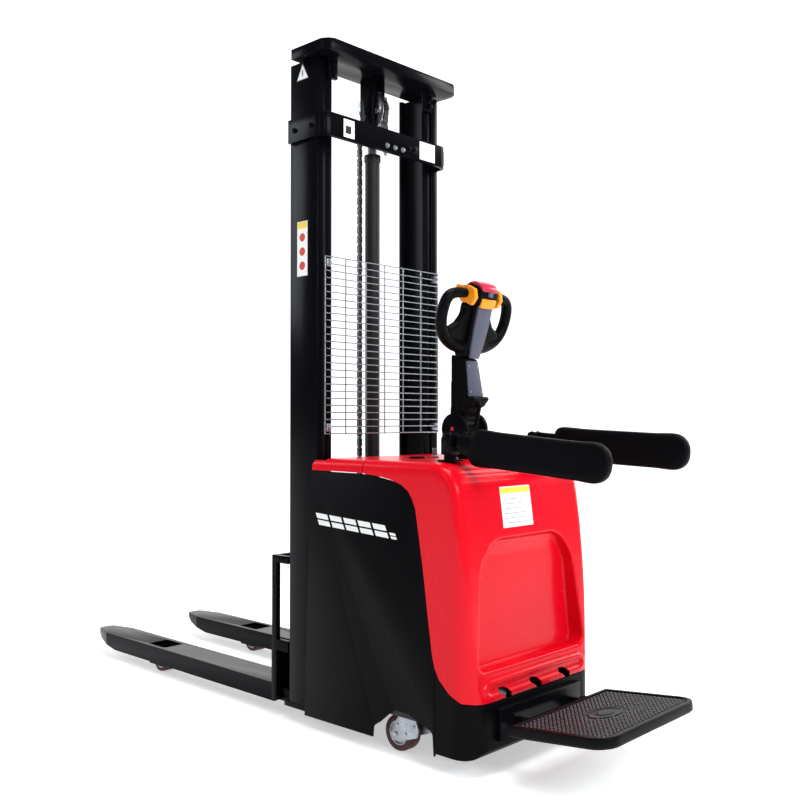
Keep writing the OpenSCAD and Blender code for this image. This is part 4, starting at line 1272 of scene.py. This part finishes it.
# %% Steel bar inside each pad, with its pivot boss
ARM_BAR = [(10, -10), (10, 10), (-2, 17), (-110, 14), (-118, 8), (-118, -30), (-84, -32), (-60, -16),
           (-6, -16)]
ARM_NECK = [(-34, -22), (-34, 14), (-94, 14), (-94, -46), (-58, -38)]
for side, label in SIDES:
    bar = rounded(plate("bar", ARM_BAR, "X", -8, 8), 2.5, 3)
    neck = rounded(plate("neck", ARM_NECK, "X", -14, 14), 4, 4)
    boss = rounded(rod("boss", 17, (-9.8, 0, 0), (9.8, 0, 0), 40), 1.5, 2)
    arm_bar = joined("arm_bar_" + label, [bar, neck, boss])
    arm_bar.data.transform(arm_place(side))
    done(arm_bar, black_enamel, "arm_" + label, "black_paint", "arm_" + label)

# %% [markdown]
# ## Labels and small hardware
# The truck carries a few printed films. Their layout is kept and what they say is not: a plain
# triangle, bands of colour, thin lines and slanted stripes. One function makes every bolt.

# %% Films


def film(name, outline, across, low, high, finish):
    """A thin printed film, whose low and high are places along the axis it faces."""
    done(plate(name, outline, across, low, high), finish, "chassis", "label", "labels")


def oblong(a0, b0, a1, b1):
    """A rectangle between two corners."""
    return [(a0, b0), (a1, b0), (a1, b1), (a0, b1)]


MAST_SIDE = -278
BAR_FRONT = -41
MAST_TOP = 2080
BAR_LOW = MAST_TOP - 284
TRIANGLE = [(38, -94), (98, -94), (68, -38)]
INNER_TRIANGLE = [(43, -91), (93, -91), (68, -45)]
for name, outline, low, high, finish in (
    ("triangle_rim", TRIANGLE, 0.4, 0, black_film),
    ("triangle_face", INNER_TRIANGLE, 0.8, 0.4, white_film),
    ("triangle_mark", oblong(66, -81, 70, -62), 1, 0.8, black_film),
    ("strip_face", oblong(44, -704, 92, -534), 0.5, 0, white_film),
    ("strip_header", oblong(46, -556, 90, -536), 0.8, 0.5, yellow_film),
):
    below_top = [(y, MAST_TOP + z) for y, z in outline]
    film(name, below_top, "X", MAST_SIDE - low, MAST_SIDE - high, finish)
for n in range(3):
    z = MAST_TOP - 584 - n * 44
    spot = rod("strip_spot_%d" % n, 13, (MAST_SIDE - 0.8, 68, z), (MAST_SIDE - 0.5, 68, z), 32)
    done(spot, red_film, "chassis", "label", "labels")
for name, outline, low, high, finish in (
    ("bar_film_left", oblong(-206, 8, -160, 64), 0.5, 0, white_film),
    ("bar_film_left_mark", oblong(-198, 20, -174, 44), 0.8, 0.5, black_film),
    ("bar_film_right", oblong(142, 7, 218, 67), 0.5, 0, white_film),
):
    on_bar = [(x, BAR_LOW + z) for x, z in outline]
    film(name, on_bar, "Y", BAR_FRONT - low, BAR_FRONT - high, finish)

# %% Hood film, wrapped onto the sloping back of the hood


def hood_film(name, x0, z0, x1, z1, lift, finish):
    """A film between two corners, drawn onto the hood and standing off it by a lift."""
    clear()
    bpy.ops.mesh.primitive_grid_add(x_subdivisions=8, y_subdivisions=24, size=1)
    piece = settle(bpy.context.object)
    piece.name = name
    for vertex in piece.data.vertices:
        x = x0 + (vertex.co.x + 0.5) * (x1 - x0)
        z = z0 + (vertex.co.y + 0.5) * (z1 - z0)
        vertex.co = at(x, -600, z)
    with_modifier(piece, "SHRINKWRAP", target=hood, wrap_method="PROJECT", use_project_y=True,
                  use_negative_direction=False, use_positive_direction=True, project_limit=0.06)
    for vertex in piece.data.vertices:
        vertex.co.y -= lift * MM
    with_modifier(piece, "SOLIDIFY", thickness=0.3 * MM, offset=0)
    done(piece, finish, "chassis", "label", "labels")


FILM_LEFT, FILM_RIGHT, FILM_LOW, FILM_HIGH = -105, 34, 634, 746
hood_film("hood_film", FILM_LEFT, FILM_LOW, FILM_RIGHT, FILM_HIGH, 0.5, white_film)
hood_film("hood_film_header", FILM_LEFT + 3, FILM_HIGH - 18, FILM_RIGHT - 3, FILM_HIGH - 3, 0.9, yellow_film)
for n in range(6):
    low = FILM_LOW + 12 + n * 13
    end = FILM_RIGHT - 30 - 9 * (n % 2)
    hood_film("hood_film_line_%d" % n, FILM_LEFT + 10, low, end, low + 1.3, 0.9, grey_shell)

# %% Slanted stripes on the side panels
PANEL_SIDE = 290
STRIPE_THICK = 0.7
for (side, label), low in zip(SIDES, (-PANEL_SIDE - STRIPE_THICK, PANEL_SIDE)):
    for n in range(6):
        y, z = -26 - n * 60, 617 - n * 3.3
        wide = 50 if n < 5 else 22
        high = 35 if n < 5 else 17
        for row, (low_share, high_share) in enumerate(((0, 0.42), (0.56, 1))):
            slant = [(y - a * wide + b * high * 0.45, z + b * high - a * wide * 0.06)
                     for a, b in ((0, low_share), (1, low_share), (1, high_share), (0, high_share))]
            film("stripe_%s_%d_%d" % (label, n, row), slant, "X", low, low + STRIPE_THICK, white_film)

# %% Bolts on the top plate and the crossbar
plate_bolts = [bolt("plate_bolt", 8, (side * 222, -16.2, z)) for side in (-1, 1) for z in (2004, 2030)]
done(joined("top_plate_bolts", plate_bolts), black_enamel, "inner_mast", "black_paint")
bar_bolts = [bolt("bar_bolt", 6, (x, BAR_FRONT, BAR_LOW + 20)) for x in (-14, 23, 60)]
done(joined("crossbar_bolts", bar_bolts), zinc_plate, "chassis", "bright_steel")
side_bolts = [
    bolt("side_bolt", 7, (side * 288, y, BAR_LOW + 36), "X", side) for side in (-1, 1) for y in (20, 96)
]
done(joined("crossbar_side_bolts", side_bolts), black_enamel, "chassis", "black_paint")
